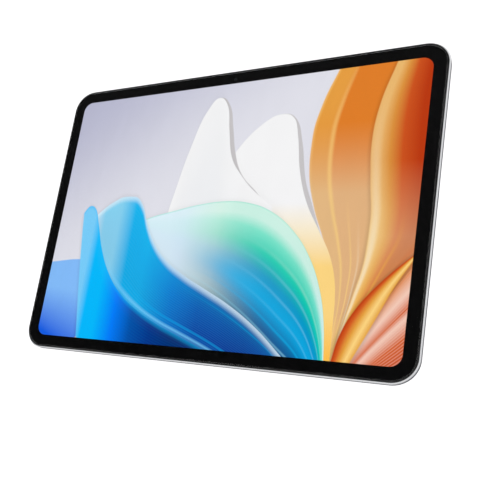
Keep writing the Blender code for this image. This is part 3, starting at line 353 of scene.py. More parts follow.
def circuit_board(name, dark=(0.006, 0.055, 0.034), light=(0.012, 0.12, 0.07)):
    """Solder mask over copper tracks, with rows of bright pads."""
    finish = Finish(name)
    place = finish.place()
    tracks = finish.node("ShaderNodeTexBrick", {
        "Vector": place, "Scale": 260.0, "Mortar Size": 0.028, "Color1": dark, "Color2": dark,
        "Mortar": light, "Row Height": 0.22,
    }, offset=0.37)
    cells = finish.node("ShaderNodeTexVoronoi", {"Vector": place, "Scale": 620.0, "Randomness": 0.35})
    pads = finish.fade(cells.outputs["Distance"], 0.16, 0.2, 1.0, 0.0)
    few = finish.fade(finish.noise(7 * MM, 1.0, place=place), 0.52, 0.56)
    pads = finish.math("MULTIPLY", pads, few)
    return finish.surface(
        Base_Color=finish.mix(pads, tracks.outputs["Color"], (0.75, 0.62, 0.35)),
        Metallic=pads, Roughness=finish.fade(pads, 0.0, 1.0, 0.42, 0.28),
        Normal=finish.bump(tracks.outputs["Fac"], 0.02 * MM, 0.5),
    )


def film_strip(name, colour, line_colour, pitch=0.4 * MM, axis=1):
    """Flexible film with fine parallel tracks."""
    finish = Finish(name)
    across = finish.axes()[axis]
    wave = finish.math("SINE", finish.math("MULTIPLY", across, 2 * math.pi / pitch))
    tracks = finish.fade(wave, 0.1, 0.5)
    clouds = finish.noise(4 * MM, 3.0)
    base = finish.mix(finish.spread(clouds), colour, tuple(c * 0.75 for c in colour))
    return finish.surface(
        Base_Color=finish.mix(tracks, base, line_colour), Roughness=finish.spread(clouds, 0.32, 0.46),
        Coat_Weight=0.3, Normal=finish.bump(tracks, 0.01 * MM),
    )


def pouch_foil(name):
    """Black wrap over a soft pouch, with slack wrinkles."""
    finish = Finish(name)
    wrinkles = finish.noise(11 * MM, 6.0, 0.62, (1.0, 0.45, 1.0))
    return finish.surface(
        Base_Color=finish.mix(finish.fade(wrinkles, 0.35, 0.65), (0.012, 0.012, 0.014), (0.03, 0.03, 0.033)),
        Roughness=finish.spread(wrinkles, 0.28, 0.42), Metallic=0.4,
        Normal=finish.bump(wrinkles, 0.25 * MM),
    )


def woven_gauze(name, pitch=0.16 * MM):
    """Woven black wire behind the sound slots."""
    finish = Finish(name)
    _, y, z = finish.axes()
    turn = 2 * math.pi / pitch
    warp = finish.math("SINE", finish.math("MULTIPLY", y, turn))
    weft = finish.math("SINE", finish.math("MULTIPLY", z, turn))
    wires = finish.math("MAXIMUM", warp, weft)
    worn = finish.noise(1.2 * MM, 3.0)
    bright = finish.mix(finish.spread(worn), (0.06, 0.06, 0.065), (0.11, 0.11, 0.115))
    return finish.surface(
        Base_Color=finish.mix(finish.fade(wires, 0.1, 0.9), (0.002, 0.002, 0.002), bright),
        Roughness=finish.spread(worn, 0.35, 0.5), Metallic=0.8,
        Normal=finish.bump(wires, pitch * 0.4),
    )


def diffuser_sheet(name):
    """White light sheet with rows of fine lens bumps."""
    finish = Finish(name)
    place = finish.place()
    cells = finish.node("ShaderNodeTexVoronoi", {"Vector": place, "Scale": 900.0, "Randomness": 0.2})
    dots = finish.fade(cells.outputs["Distance"], 0.1, 0.5)
    return finish.surface(
        Base_Color=finish.mix(dots, (0.86, 0.87, 0.88), (0.76, 0.77, 0.78)),
        Roughness=finish.fade(dots, 0.0, 1.0, 0.45, 0.6), Normal=finish.bump(dots, 0.02 * MM),
    )


def printed_ink(name, colour):
    """Deep black print on the glass's inner face."""
    finish = Finish(name)
    shade, fine = grained(finish, colour, 0.18, 0.09 * MM)
    return finish.surface(
        Base_Color=shade, Roughness=finish.spread(fine, 0.5, 0.62), Specular_IOR_Level=0.05,
    )


def lens_with_painted_reflection(name, tint):
    """Dark lens glass with a painted coloured reflection of its coating towards its middle."""
    finish = Finish(name)
    place = finish.node("ShaderNodeUVMap", uv_map="turned").outputs[0]
    radius = finish.axes(place)[0]
    # painted reflection: the coating's colour is painted into the glass's colour, full in the middle and
    # fading out towards the edge
    painted_reflection = finish.fade(radius, 0.0, 0.85, 1.0, 0.0)
    specks = finish.noise(0.08, 2.0, place=place)
    deep = finish.mix(finish.spread(specks), (0.003, 0.004, 0.005), (0.006, 0.008, 0.01))
    return finish.surface(
        Base_Color=finish.mix(painted_reflection, deep, tint), Roughness=finish.spread(specks, 0.03, 0.07),
        Coat_Weight=1.0, Coat_Roughness=0.02, IOR=1.7,
    )


def frosted_window(name):
    """The flash's frosted window, warm in the middle where its emitters lie."""
    finish = Finish(name)
    radius = finish.axes(finish.node("ShaderNodeUVMap", uv_map="turned").outputs[0])[0]
    warm = finish.fade(radius, 0.25, 0.7, 1.0, 0.0)
    frost = finish.noise(0.12 * MM, 3.0)
    return finish.surface(
        Base_Color=finish.mix(warm, (0.78, 0.77, 0.72), (0.82, 0.62, 0.2)),
        Roughness=finish.spread(frost, 0.18, 0.32), Coat_Weight=0.6,
        Normal=finish.bump(frost, 0.01 * MM),
    )


def contact_metal(name):
    """Thin gold plating, a little worn where a plug rubs."""
    finish = Finish(name)
    worn = finish.noise(0.5 * MM, 3.0, 0.6, (0.3, 1.0, 1.0))
    return finish.surface(
        Base_Color=finish.mix(finish.fade(worn, 0.45, 0.75), (0.83, 0.6, 0.25), (0.66, 0.5, 0.3)),
        Roughness=finish.spread(worn, 0.16, 0.3), Metallic=1.0,
    )


def dress(names, material):
    """Puts one material on the named nodes of the frame."""
    for name in names:
        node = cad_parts[name]
        node.data.materials.clear()
        node.data.materials.append(material)
        for face in node.data.polygons:
            face.material_index = 0


# Meshes.

def add_object(name, data):
    """An object in the scene that shows the data."""
    made = bpy.data.objects.new(name, data)
    bpy.context.scene.collection.objects.link(made)
    return made


def round_place(node):
    """A round node's lowest and highest corner, its middle and its radius."""
    low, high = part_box(node)
    return low, high, (low + high) / 2, (high.x - low.x) / 2


def new_piece(name, bm, material, body="root", smooth=True):
    """Makes a piece from a finished mesh, which rides on a body of the frame."""
    bmesh.ops.recalc_face_normals(bm, faces=bm.faces)
    data = bpy.data.meshes.new(name)
    bm.to_mesh(data)
    bm.free()
    data.materials.append(material)
    piece = add_object(name, data)
    if smooth:
        data.shade_smooth()
        data.set_sharp_from_angle(angle=math.radians(32))
    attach(piece, body)
    return piece


def turned_mesh(centre, profile, steps=64):
    """A closed turned shape through (radius, height) points; its map holds the share of the radius."""
    bm = bmesh.new()
    shares = bm.loops.layers.uv.new("turned")
    widest = max(radius for radius, _ in profile)
    rings = []
    for radius, height in profile:
        if radius < 1e-7:
            rings.append([bm.verts.new((centre[0], centre[1], height))])
            continue
        rings.append([bm.verts.new((
            centre[0] + radius * math.cos(2 * math.pi * step / steps),
            centre[1] + radius * math.sin(2 * math.pi * step / steps), height,
        )) for step in range(steps)])
    pairs = list(zip(range(len(rings)), range(1, len(rings)))) + [(len(rings) - 1, 0)]
    for first, second in pairs:
        a, b = rings[first], rings[second]
        if len(a) == 1 and len(b) == 1:
            continue
        for step in range(steps):
            after = (step + 1) % steps
            corners = [a[step % len(a)], a[after % len(a)], b[after % len(b)], b[step % len(b)]]
            unique = list(dict.fromkeys(corners))
            face = bm.faces.new(unique)
            for loop in face.loops:
                away = (loop.vert.co.xy - Vector(centre[:2])).length / widest
                loop[shares].uv = (away, step / steps)
    return bm


def domed_profile(radius, foot, rise, back, steps):
    """Points of a lens with a flat back and a round face, from its back's middle outwards."""
    turns = [math.pi / 2 * step / steps for step in range(steps + 1)]
    return [(0.0, back)] + [(radius * math.cos(turn), foot + rise * math.sin(turn)) for turn in turns]


# The lit picture: smooth waves laid over one another, each between two edge lines, near and far.
# A wave's edges are heights over the width, or, where it runs down, distances from the left over
# the height. Both are shares of the picture, from its top left, and a wave with no far edge goes on
# past the picture.
#   after, before: cut a wave off sideways, along a line given the other way round
#   ends: cut it off at its far edge too
#   across: colours from the near edge to the far one
#   along: colours the way it runs, and mingle: their part in the mix from one end to the other
#   fall: colours from top to bottom, in place of the others
#   glows: soft lines, each with its place across, reach, strength, start, full strength and colour
#   lines: number, strength and colour of fine ridges; rim: reach, strength and colour of its edge
#   cast: reach and strength of its shadow; soft: width of its edge

BEYOND = ((0, 1.9), (1, 1.9))
WAVES = (
    {   # round hill at the left
        "near": ((0, 0.7), (0.1, 0.688), (0.2, 0.71), (0.32, 0.79), (0.5, 1.0), (1, 1.7)),
        "far": ((0, 1.03), (1, 1.9)),
        "across": ((0, "hill_light"), (0.3, "hill_light"), (0.82, "hill_deep")),
    },
    {   # shaded back of the second white crest
        "near": ((0, 1.2), (0.45, 0.5), (0.54, 0.27), (0.61, 0.172), (0.66, 0.147), (0.69, 0.172),
            (0.713, 0.26), (0.735, 0.4), (0.76, 0.49), (0.85, 0.8), (1, 1.4)),
        "across": ((0, "paper_fold"), (1, "paper_fold")),
    },
    {   # first warm sheet
        "runs": "down",
        "near": ((0, 0.782), (0.12, 0.752), (0.25, 0.737), (0.38, 0.742), (0.5, 0.765), (0.62, 0.8),
            (0.74, 0.828), (0.86, 0.838), (1, 0.836)),
        "far": ((0, 0.93), (0.3, 0.905), (0.5, 0.91), (0.65, 0.91), (0.8, 0.89), (0.9, 0.872), (1, 0.858)),
        "across": ((0, "honey"), (0.05, "amber"), (0.24, "amber"), (0.34, "orange"), (1, "orange")),
        "along": ((0, "orange"), (0.2, "orange"), (0.45, "tan"), (0.85, "tan"), (1, "honey")),
        "mingle": (0.1, 0.5, 0.3, 0.85),
        "glows": ((0.3, 0.06, 0.5, -0.2, 0.3, "honey"), (0.55, 0.04, 0.75, 0.4, 0.95, "honey"),
            (0.72, 0.045, 0.6, 0.5, 0.95, "cream"), (0.9, 0.06, 0.5, 0.45, 0.9, "honey")),
    },
    {   # second warm sheet, before the first
        "runs": "down",
        "near": ((0, 0.92), (0.14, 0.892), (0.28, 0.882), (0.42, 0.89), (0.55, 0.9), (0.68, 0.897),
            (0.8, 0.88), (0.9, 0.864), (1, 0.85)),
        "far": ((0, 1.06), (0.4, 1.08), (0.6, 1.06), (0.7, 1.0), (0.8, 0.95), (0.9, 0.905), (1, 0.87)),
        "across": ((0, "honey"), (0.1, "honey"), (0.22, "amber"), (0.36, "ember"), (0.55, "rust"),
            (1, "rust")),
        "along": ((0, "rust"), (0.35, "rust"), (0.6, "tan"), (0.85, "amber"), (1, "honey")),
        "mingle": (0.0, 1.0, 0.3, 0.5),
        "glows": ((0.06, 0.09, 0.7, 0.0, 0.9, "cream"), (0.42, 0.05, 0.6, 0.5, 0.8, "amber"),
            (0.7, 0.08, 0.5, 0.5, 0.9, "ember")),
        "cast": (0.012, 0.2),
    },
    {   # pale corner sheet with fine lines
        "near": ((0, 1.8), (0.83, 1.08), (0.88, 0.965), (0.93, 0.855), (0.97, 0.765), (1, 0.7)),
        "far": ((0, 2.0), (0.83, 1.4), (0.9, 1.15), (1, 1.04)),
        "across": ((0, "orange"), (0.2, "peach"), (0.36, "ember"), (0.44, "peach"), (0.62, "ember"),
            (1, "rust")),
        "lines": (30, 0.3, "peach"),
    },
    {   # gold fold across the warm sheets
        "runs": "down",
        "near": ((0, 1.2), (0.6, 1.05), (0.68, 0.985), (0.76, 0.93), (0.84, 0.888), (0.92, 0.862),
            (1, 0.85)),
        "far": ((0, 1.1), (0.58, 1.04), (0.68, 1.0), (0.76, 0.968), (0.84, 0.943), (0.92, 0.918),
            (1, 0.892)),
        "across": ((0, "rust"), (0.2, "ember"), (0.45, "gold"), (0.72, "honey"), (1, "gold")),
        "ends": True, "glows": ((0.0, 0.12, 0.5, 0.55, 0.8, "rust"),),
        "cast": (0.012, 0.25),
    },
    {   # second white crest, which turns to yellow down its right edge
        "near": ((0, 1.2), (0.45, 0.5), (0.54, 0.27), (0.6, 0.178), (0.648, 0.147), (0.682, 0.165),
            (0.7, 0.24), (0.716, 0.36), (0.745, 0.48), (0.785, 0.58), (0.82, 0.67), (0.84, 0.77),
            (0.846, 0.9), (0.85, 1.05), (1, 1.5)),
        "far": ((0, 1.05), (0.8, 1.1), (1, 1.6)),
        "across": ((0, "paper"), (1, "paper")),
        "fall": ((0, "paper"), (0.48, "paper"), (0.58, "cream"), (0.7, "honey"), (0.86, "honey"),
            (1, "sun")),
        "soft": 0.004,
    },
    {   # shaded back of the first white crest
        "near": ((0, 1.6), (0.34, 0.66), (0.37, 0.45), (0.4, 0.24), (0.435, 0.095), (0.468, 0.052),
            (0.498, 0.09), (0.517, 0.18), (0.535, 0.28), (0.56, 0.36), (0.62, 0.45), (1, 1.2)),
        "across": ((0, "paper_fold"), (1, "paper_low")),
        "before": ((0, 0.62), (1, 0.62)),
    },
    {   # first white crest
        "near": ((0, 1.6), (0.34, 0.66), (0.37, 0.45), (0.4, 0.24), (0.433, 0.097), (0.463, 0.052),
            (0.49, 0.088), (0.507, 0.19), (0.528, 0.3), (0.56, 0.366), (0.62, 0.45), (0.8, 0.62), (1, 0.9)),
        "across": ((0, "paper"), (0.3, "paper_low"), (1, "paper")),
        "before": ((0, 0.64), (1, 0.68)),
        "cast": (0.04, 0.035),
    },
    {   # round dome
        "near": ((0, 0.9), (0.24, 0.56), (0.31, 0.522), (0.38, 0.498), (0.46, 0.475), (0.53, 0.466),
            (0.6, 0.477), (0.66, 0.51), (0.72, 0.576), (0.77, 0.668), (0.806, 0.78), (0.824, 0.88),
            (0.834, 0.99), (0.842, 1.1), (1, 1.7)),
        "far": ((0, 0.9), (0.28, 0.56), (0.33, 0.64), (0.42, 0.735), (0.56, 0.85), (0.7, 1.0), (0.8, 1.13),
            (1, 1.9)),
        "across": ((0, "mint_pale"), (0.1, "mint_pale"), (0.2, "mint"), (0.34, "teal"), (0.5, "cyan"),
            (0.72, "royal"), (1, "navy")),
        "along": ((0.3, "ice"), (0.42, "ice"), (0.52, "mint_pale"), (0.66, "mint"), (0.775, "teal"),
            (0.82, "azure_deep")),
        "mingle": (0.36, 0.7, 0.92, 0.12), "after": ((0, 0.2), (1, 0.2)),
        "glows": ((0.3, 0.03, 0.2, 0.56, 0.86, "mint_pale"), (0.42, 0.026, 0.3, 0.5, 0.86, "azure"),
            (0.56, 0.024, 0.4, 0.46, 0.84, "azure"), (0.68, 0.022, 0.45, 0.5, 0.84, "azure"),
            (0.79, 0.02, 0.5, 0.42, 0.8, "azure_deep"), (0.89, 0.018, 0.5, 0.38, 0.8, "azure"),
            (0.66, 0.22, 0.7, 0.42, 0.62, "azure_deep")),
        "cast": (0.02, 0.06), "rim": (0.006, 0.6, "mint"),
    },
    {   # long blue sweep
        "near": ((0, 0.8), (0.1, 0.55), (0.14, 0.492), (0.18, 0.452), (0.22, 0.432), (0.255, 0.436),
            (0.282, 0.475), (0.305, 0.545), (0.335, 0.615), (0.38, 0.682), (0.44, 0.738), (0.51, 0.788),
            (0.58, 0.838), (0.65, 0.9), (0.71, 0.968), (0.77, 1.05), (1, 1.5)),
        "far": ((0, 0.8), (0.12, 0.52), (0.145, 0.57), (0.175, 0.66), (0.21, 0.74), (0.26, 0.815),
            (0.32, 0.872), (0.39, 0.92), (0.46, 0.957), (0.54, 1.0), (0.62, 1.05), (0.75, 1.13), (1, 1.6)),
        "across": ((0, "azure_deep"), (0.4, "ocean"), (0.8, "royal"), (1, "ocean")),
        "along": ((0.12, "ice"), (0.16, "azure"), (0.21, "azure"), (0.26, "azure_deep"),
            (0.32, "azure_deep"), (0.42, "ocean"), (0.5, "royal"), (0.64, "navy")),
        "mingle": (0.2, 0.5, 0.85, 0.7), "lines": (26, 0.06, "wing_light"),
        "glows": ((0.2, 0.04, 0.3, 0.4, 0.7, "azure_deep"), (0.84, 0.04, 0.35, 0.2, 0.5, "wing"),
            (0.97, 0.05, 0.6, 0.12, 0.3, "wing_light")),
        "rim": (0.03, 0.7, "ice"), "cast": (0.02, 0.1), "after": ((0, 0.115), (0.5, 0.12), (1, 0.145)),
    },
    {   # deep front, bright at the left and dark towards its middle
        "near": ((0, 0.7), (0.065, 0.545), (0.085, 0.485), (0.102, 0.465), (0.12, 0.478), (0.14, 0.54),
            (0.17, 0.648), (0.208, 0.74), (0.26, 0.82), (0.32, 0.877), (0.39, 0.925), (0.46, 0.962),
            (0.54, 1.005), (0.62, 1.055), (0.75, 1.135), (1, 1.6)),
        "far": ((0, 1.15), (0.3, 1.3), (0.6, 1.3), (1, 1.9)),
        "across": ((0, "wing_light"), (0.12, "wing"), (0.5, "wing_deep"), (1, "wing_deep")),
        "along": ((0.08, "wing_light"), (0.125, "wing_light"), (0.15, "wing"), (0.19, "wing"),
            (0.25, "wing_deep"), (0.31, "royal"), (0.37, "navy"), (0.44, "midnight"), (0.8, "midnight")),
        "mingle": (0.0, 1.0, 0.96, 0.96), "lines": (40, 0.04, "azure_deep"), "rim": (0.02, 0.4, "wing"),
        "after": ((0, 0.05), (0.4, 0.074), (0.5, 0.081), (0.65, 0.096), (0.8, 0.114), (1, 0.14)),
        "cast": (0.012, 0.1),
    },
)


def paint_wave(finish, under, right, down, wave, colours):
    """Lays one wave over the colour so far and returns the new colour."""
    along, across = (down, right) if wave.get("runs") == "down" else (right, down)
    near = finish.curve(along, wave["near"])
    far = finish.curve(along, wave.get("far", BEYOND))
    depth = finish.math("SUBTRACT", across, near)
    width = finish.math("MAXIMUM", finish.math("SUBTRACT", far, near), 0.01)
    share = finish.math("DIVIDE", depth, width, clamp=True)
    half = wave.get("soft", 0.003) / 2
    sides = []
    if wave.get("ends"):
        sides.append(finish.math("SUBTRACT", far, across))
    if "after" in wave:
        sides.append(finish.math("SUBTRACT", along, finish.curve(across, wave["after"])))
    if "before" in wave:
        sides.append(finish.math("SUBTRACT", finish.curve(across, wave["before"]), along))
    mask = finish.fade(depth, -half, half, kind="LINEAR")
    for side in sides:
        mask = finish.math("MULTIPLY", mask, finish.fade(side, -half, half, kind="LINEAR"))
    if "cast" in wave:
        reach, strength = wave["cast"]
        shadow = finish.fade(depth, -reach, 0.0, 0.0, strength)
        for side in sides:
            shadow = finish.math("MULTIPLY", shadow, finish.fade(side, -reach, 0.0))
        under = finish.mix(shadow, under, (0.0, 0.0, 0.0))
    paint = finish.ramp(share, [(at, colours[name]) for at, name in wave["across"]])
    if "along" in wave:
        length = finish.ramp(along, [(at, colours[name]) for at, name in wave["along"]])
        low, high, at_low, at_high = wave["mingle"]
        paint = finish.mix(finish.fade(along, low, high, at_low, at_high), paint, length)
    if "fall" in wave:
        paint = finish.ramp(down, [(at, colours[name]) for at, name in wave["fall"]])
    if "lines" in wave:
        count, strength, name = wave["lines"]
        ripple = finish.math("SINE", finish.math("MULTIPLY", share, 2 * math.pi * count))
        paint = finish.mix(finish.fade(ripple, -1.0, 1.0, 0.0, strength), paint, colours[name])
    for place, reach, strength, start, end, name in wave.get("glows", ()):
        away = finish.math("ABSOLUTE", finish.math("SUBTRACT", share, place))
        line = finish.fade(away, 0.0, reach, strength, 0.0)
        line = finish.math("MULTIPLY", line, finish.fade(along, start, end))
        paint = finish.mix(line, paint, colours[name])
    if "rim" in wave:
        reach, strength, name = wave["rim"]
        paint = finish.mix(finish.fade(depth, 0.0, reach, strength, 0.0), paint, colours[name])
    return finish.mix(mask, under, paint)


def picture_finish(settings):
    """The whole picture as light from one thin sheet."""
    finish = Finish("picture_waves")
    names = [key for key in settings.__annotations__ if key != "brightness"]
    colours = {name: linear(getattr(settings, name)) for name in names}
    right, up, _ = finish.axes(finish.node("ShaderNodeUVMap", uv_map="picture").outputs[0])
    down = finish.math("SUBTRACT", 1.0, up)
    slope = finish.math("MULTIPLY_ADD", down, 0.9, finish.math("MULTIPLY", right, 0.9))
    colour = finish.ramp(slope, [(0.0, colours["sky_high"]), (0.75, colours["sky_low"])])
    for wave in WAVES:
        colour = paint_wave(finish, colour, right, down, wave, colours)
    return finish.surface(
        Base_Color=(0.0, 0.0, 0.0), Roughness=0.5, Specular_IOR_Level=0.0,
        Emission_Color=colour, Emission_Strength=settings.brightness,
    )


# Operators.

class TabletMetal(bpy.types.Operator):
    """Finish the casing, the keys, the card tray and the camera's ring"""

    bl_idname = "tablet.finish_metal"
    bl_label = "Casing and Keys"

    def execute(self, context):
        settings = context.scene.tablet_metal
        dress(["rear_cover"], blasted_metal("casing_metal", settings, cut_rim=True))
        dress(["power_key", "volume_key", "card_tray"], blasted_metal("key_metal", settings))
        dress(["rear_camera_ring"], brushed_metal("ring_metal", (0.5, 0.51, 0.53), 0.22, (1.0, 1.0, 0.05)))
        window = tuple(0.92 * c for c in linear(settings.body))
        dress(["antenna_window"], moulded_plastic("window_plastic", window, 0.42, 0.2 * MM, spread=0.04))
        return {"FINISHED"}


class TabletGlass(bpy.types.Operator):
    """Finish the cover glass, the printed border, the gasket and the camera window"""

    bl_idname = "tablet.finish_glass"
    bl_label = "Glass and Border"

    def execute(self, context):
        settings = context.scene.tablet_glass
        dress(["cover_glass"], clear_glass("cover_glass", settings.index))
        window = clear_glass("camera_window_glass", settings.index, (0.93, 0.95, 0.97))
        dress(["rear_camera_window"], window)
        dress(["border_mask"], printed_ink("border_ink", linear(settings.ink)))
        gasket = linear(settings.gasket)
        dress(["glass_trim", "display_adhesive"], moulded_plastic("gasket_rubber", gasket, 0.62, 0.15 * MM))
        return {"FINISHED"}


class TabletPicture(bpy.types.Operator):
    """Make the lit picture, a thin sheet on the display panel"""

    bl_idname = "tablet.make_picture"
    bl_label = "Lit Picture"

    def execute(self, context):
        low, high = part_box("display_panel")
        hidden = 1.2 * MM   # the panel's edge under the printed border, where the picture ends
        inset = hidden / 2
        height = (high.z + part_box("border_mask")[0].z) / 2
        left, right, bottom, top = low.x + inset, high.x - inset, low.y + inset, high.y - inset
        start_x, start_y = low.x + hidden, low.y + hidden
        width, depth = high.x - low.x - 2 * hidden, high.y - low.y - 2 * hidden
        bm = bmesh.new()
        share = bm.loops.layers.uv.new("picture")
        columns, rows = 24, 17
        grid = [[bm.verts.new((
            left + (right - left) * i / columns, bottom + (top - bottom) * j / rows, height,
        )) for i in range(columns + 1)] for j in range(rows + 1)]
        for j in range(rows):
            for i in range(columns):
                face = bm.faces.new((grid[j][i], grid[j][i + 1], grid[j + 1][i + 1], grid[j + 1][i]))
                for loop in face.loops:
                    x, y = loop.vert.co.xy
                    loop[share].uv = ((x - start_x) / width, (y - start_y) / depth)
        waves = picture_finish(context.scene.tablet_picture)
        sheet = new_piece("lit_picture", bm, waves, smooth=False)
        if sheet.data.polygons[0].normal.z < 0:
            sheet.data.flip_normals()
        dress(["display_panel"], moulded_plastic("panel_backing", (0.02, 0.02, 0.022), 0.3, 0.3 * MM))
        return {"FINISHED"}


class TabletRearCamera(bpy.types.Operator):
    """Make the rear camera's stepped barrel, its coated lens and the ridged flash window"""

    bl_idname = "tablet.make_rear_camera"
    bl_label = "Rear Camera and Flash"

    def execute(self, context):
        details = context.scene.tablet_details
        tint = linear(context.scene.tablet_glass.coating)
        low, high, centre, radius = round_place("rear_camera_lens")
        mouth, seat = low.z, high.z
        steps = details.lens_steps
        mouth_share, funnel_share, depth_share = 0.9, 0.5, 0.62
        tread = (seat - mouth) * depth_share / steps
        profile = [(0.0, seat), (radius, seat), (radius, mouth)]
        for step in range(steps):
            inner = radius * (mouth_share - funnel_share * step / steps)
            profile += [(inner, mouth + tread * step), (inner, mouth + tread * (step + 1))]
        floor_z = profile[-1][1]
        profile += [(0.0, floor_z)]
        plastic = moulded_plastic("barrel_plastic", (0.01, 0.01, 0.011), 0.38, 0.1 * MM)
        barrel = new_piece("rear_lens_barrel", turned_mesh(centre, profile), plastic)
        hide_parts("rear_camera_lens")
        dome = domed_profile(inner * LENS_SHARE, floor_z - 0.06 * MM, -0.32 * MM, floor_z - 0.05 * MM, 8)
        # lens glass with the coating's colour painted in as a reflection
        coating = lens_with_painted_reflection("rear_lens_painted_reflection", tint)
        new_piece("rear_lens_glass", turned_mesh(centre, dome), coating)
        self.make_baffle(centre, mouth, radius)
        self.make_flash(details.flash_rings)
        return {"FINISHED"}

    def make_baffle(self, centre, mouth, radius):
        """A grooved dark ring between the lens and the metal ring."""
        inner, outer = radius + 0.15 * MM, 4.4 * MM
        top, thickness = mouth - 0.02 * MM, 0.6 * MM
        grooves, groove_depth = 3, 0.06 * MM
        pitch = (outer - inner) / grooves
        half = pitch * 0.22
        profile = [(outer, top + thickness), (outer, top)]
        for groove in range(grooves):
            at = outer - pitch * (groove + 0.5)
            profile += [(at + half, top), (at, top + groove_depth), (at - half, top)]
        profile += [(inner, top), (inner, top + thickness)]
        ring = moulded_plastic("baffle_plastic", (0.014, 0.014, 0.015), 0.3, 0.1 * MM)
        new_piece("rear_lens_baffle", turned_mesh(centre, profile, 72), ring)

    def make_flash(self, rings):
        """A flanged window with rings of sawtooth ridges in its face."""
        low, high, centre, rim = round_place("flash_window")
        radius = rim - 0.5 * MM
        flange = high.z - 0.3 * MM
        ridge = 0.1 * MM
        edges = [radius * (0.94 - 0.86 * ring / rings) for ring in range(rings + 1)]
        profile = [(0.0, high.z), (rim, high.z), (rim, flange), (radius, flange), (radius, low.z)]
        for outer, inner in zip(edges, edges[1:]):
            profile += [(outer, low.z), (outer * 0.99, low.z + ridge), (inner, low.z)]
        profile += [(0.0, low.z)]
        frost = frosted_window("flash_frost")
        window = new_piece("flash_lens", turned_mesh(centre, profile), frost)
        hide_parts("flash_window")


class TabletFrontCamera(bpy.types.Operator):
    """Make the front camera's small coated lens in its dark cell"""

    bl_idname = "tablet.make_front_camera"
    bl_label = "Front Camera"

    def execute(self, context):
        tint = linear(context.scene.tablet_glass.coating)
        low, high, centre, radius = round_place("front_camera_lens")
        pupil = radius * 0.66
        floor_z = high.z - 0.12 * MM
        cell = [
            (0.0, low.z), (radius, low.z), (radius, high.z), (pupil * 1.15, high.z), (pupil, floor_z),
            (0.0, floor_z),
        ]
        plastic = moulded_plastic("cell_plastic", (0.006, 0.006, 0.007), 0.4, 0.1 * MM)
        holder = new_piece("front_lens_cell", turned_mesh(centre, cell, 48), plastic)
        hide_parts("front_camera_lens")
        foot = high.z - 0.1 * MM
        dome = domed_profile(pupil * LENS_SHARE, foot, 0.09 * MM, foot, 6)
        # lens glass with the coating's colour painted in as a reflection
        coating = lens_with_painted_reflection("front_lens_painted_reflection", tint)
        new_piece("front_lens_glass", turned_mesh(centre, dome, 48), coating)
        return {"FINISHED"}


class TabletSocket(bpy.types.Operator):
    """Finish the charging socket and make the gold contacts on its tongue"""

    bl_idname = "tablet.make_socket"
    bl_label = "Charging Socket"

    def execute(self, context):
        details = context.scene.tablet_details
        dress(["usb_port_shell"], brushed_metal("socket_steel", (0.6, 0.6, 0.61), 0.24))
        dress(["usb_tongue"], moulded_plastic("tongue_plastic", (0.012, 0.012, 0.013), 0.4, 0.12 * MM))
        low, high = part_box("usb_tongue")
        bm = bmesh.new()
        count = details.contact_count
        half = details.contact_width / 2
        xs = (high.x - 3.4 * MM, high.x - 0.35 * MM)
        for side, base in ((1, high.z), (-1, low.z)):
            for number in range(count):
                y = (low.y + high.y) / 2 + (number - (count - 1) / 2) * details.contact_pitch
                self.add_pad(bm, xs, (y - half, y + half), base, side)
        new_piece("socket_contacts", bm, contact_metal("contact_gold"))
        return {"FINISHED"}

    def add_pad(self, bm, xs, ys, base, side):
        """One contact: a low pad with sloped ends, set into the tongue's face."""
        sunk, proud, slope = 0.04 * MM, 0.02 * MM, 0.12 * MM
        rims = []
        for z, inset in ((base - side * sunk, 0.0), (base + side * proud, slope)):
            left, right = xs[0] + inset, xs[1] - inset
            corners = ((left, ys[0]), (right, ys[0]), (right, ys[1]), (left, ys[1]))
            rims.append([bm.verts.new((x, y, z)) for x, y in corners])
            bm.faces.new(rims[-1])
        lower, upper = rims
        for i in range(4):
            j = (i + 1) % 4
            bm.faces.new((lower[i], lower[j], upper[j], upper[i]))


class TabletSound(bpy.types.Operator):
    """Finish the speakers, their gauze and the microphones"""

    bl_idname = "tablet.finish_sound"
    bl_label = "Sound"

    def execute(self, context):
        numbers = range(1, 5)
        dress([f"speaker_mesh_{number}" for number in numbers], woven_gauze("speaker_gauze"))
        boxes = [f"speaker_box_{number}" for number in numbers]
        plastic = moulded_plastic("inner_plastic", (0.02, 0.02, 0.021), 0.5)
        dress(boxes + ["microphone_top", "microphone_side"], plastic)
        return {"FINISHED"}


class TabletInside(bpy.types.Operator):
    """Finish the boards, shields, cells, films, sheets and screws inside"""

    bl_idname = "tablet.finish_inside"
    bl_label = "Inside"

    def execute(self, context):
        sheet = linear(context.scene.tablet_metal.sheet)
        dress(["mid_frame"], brushed_metal("frame_sheet", tuple(c * 0.8 for c in sheet), 0.38))
        steel = ["backlight_tray", "processor_shield", "power_shield", "radio_shield", "key_bracket",
                 "card_socket", "eject_lever", "eject_rod"]
        dress(steel, brushed_metal("sheet_steel", sheet, 0.3))
        dress([f"screw_{number}" for number in range(1, 7)],
              brushed_metal("screw_steel", (0.2, 0.2, 0.21), 0.3, (1.0, 1.0, 0.06)))
        dress(["heat_spreader"], brushed_metal("copper_sheet", (0.72, 0.36, 0.2), 0.32))
        boards = ["main_board", "usb_board", "battery_board", "display_driver_board"]
        dress(boards, circuit_board("green_board"))
        amber, track = (0.3, 0.12, 0.02), (0.45, 0.2, 0.05)
        dress(["battery_flex", "board_flex"], film_strip("amber_film", amber, track))
        dress(["display_flex"], film_strip("amber_ribbon", amber, track, axis=0))
        dress(["battery_cell_left", "battery_cell_right"], pouch_foil("cell_wrap"))
        dress(["backlight_unit"], diffuser_sheet("light_sheet"))
        black = ["board_connector", "power_switch", "volume_switch_up", "volume_switch_down",
                 "front_camera_body", "rear_camera_body"]
        dress(black, moulded_plastic("black_plastic", (0.018, 0.018, 0.019), 0.45))
        return {"FINISHED"}


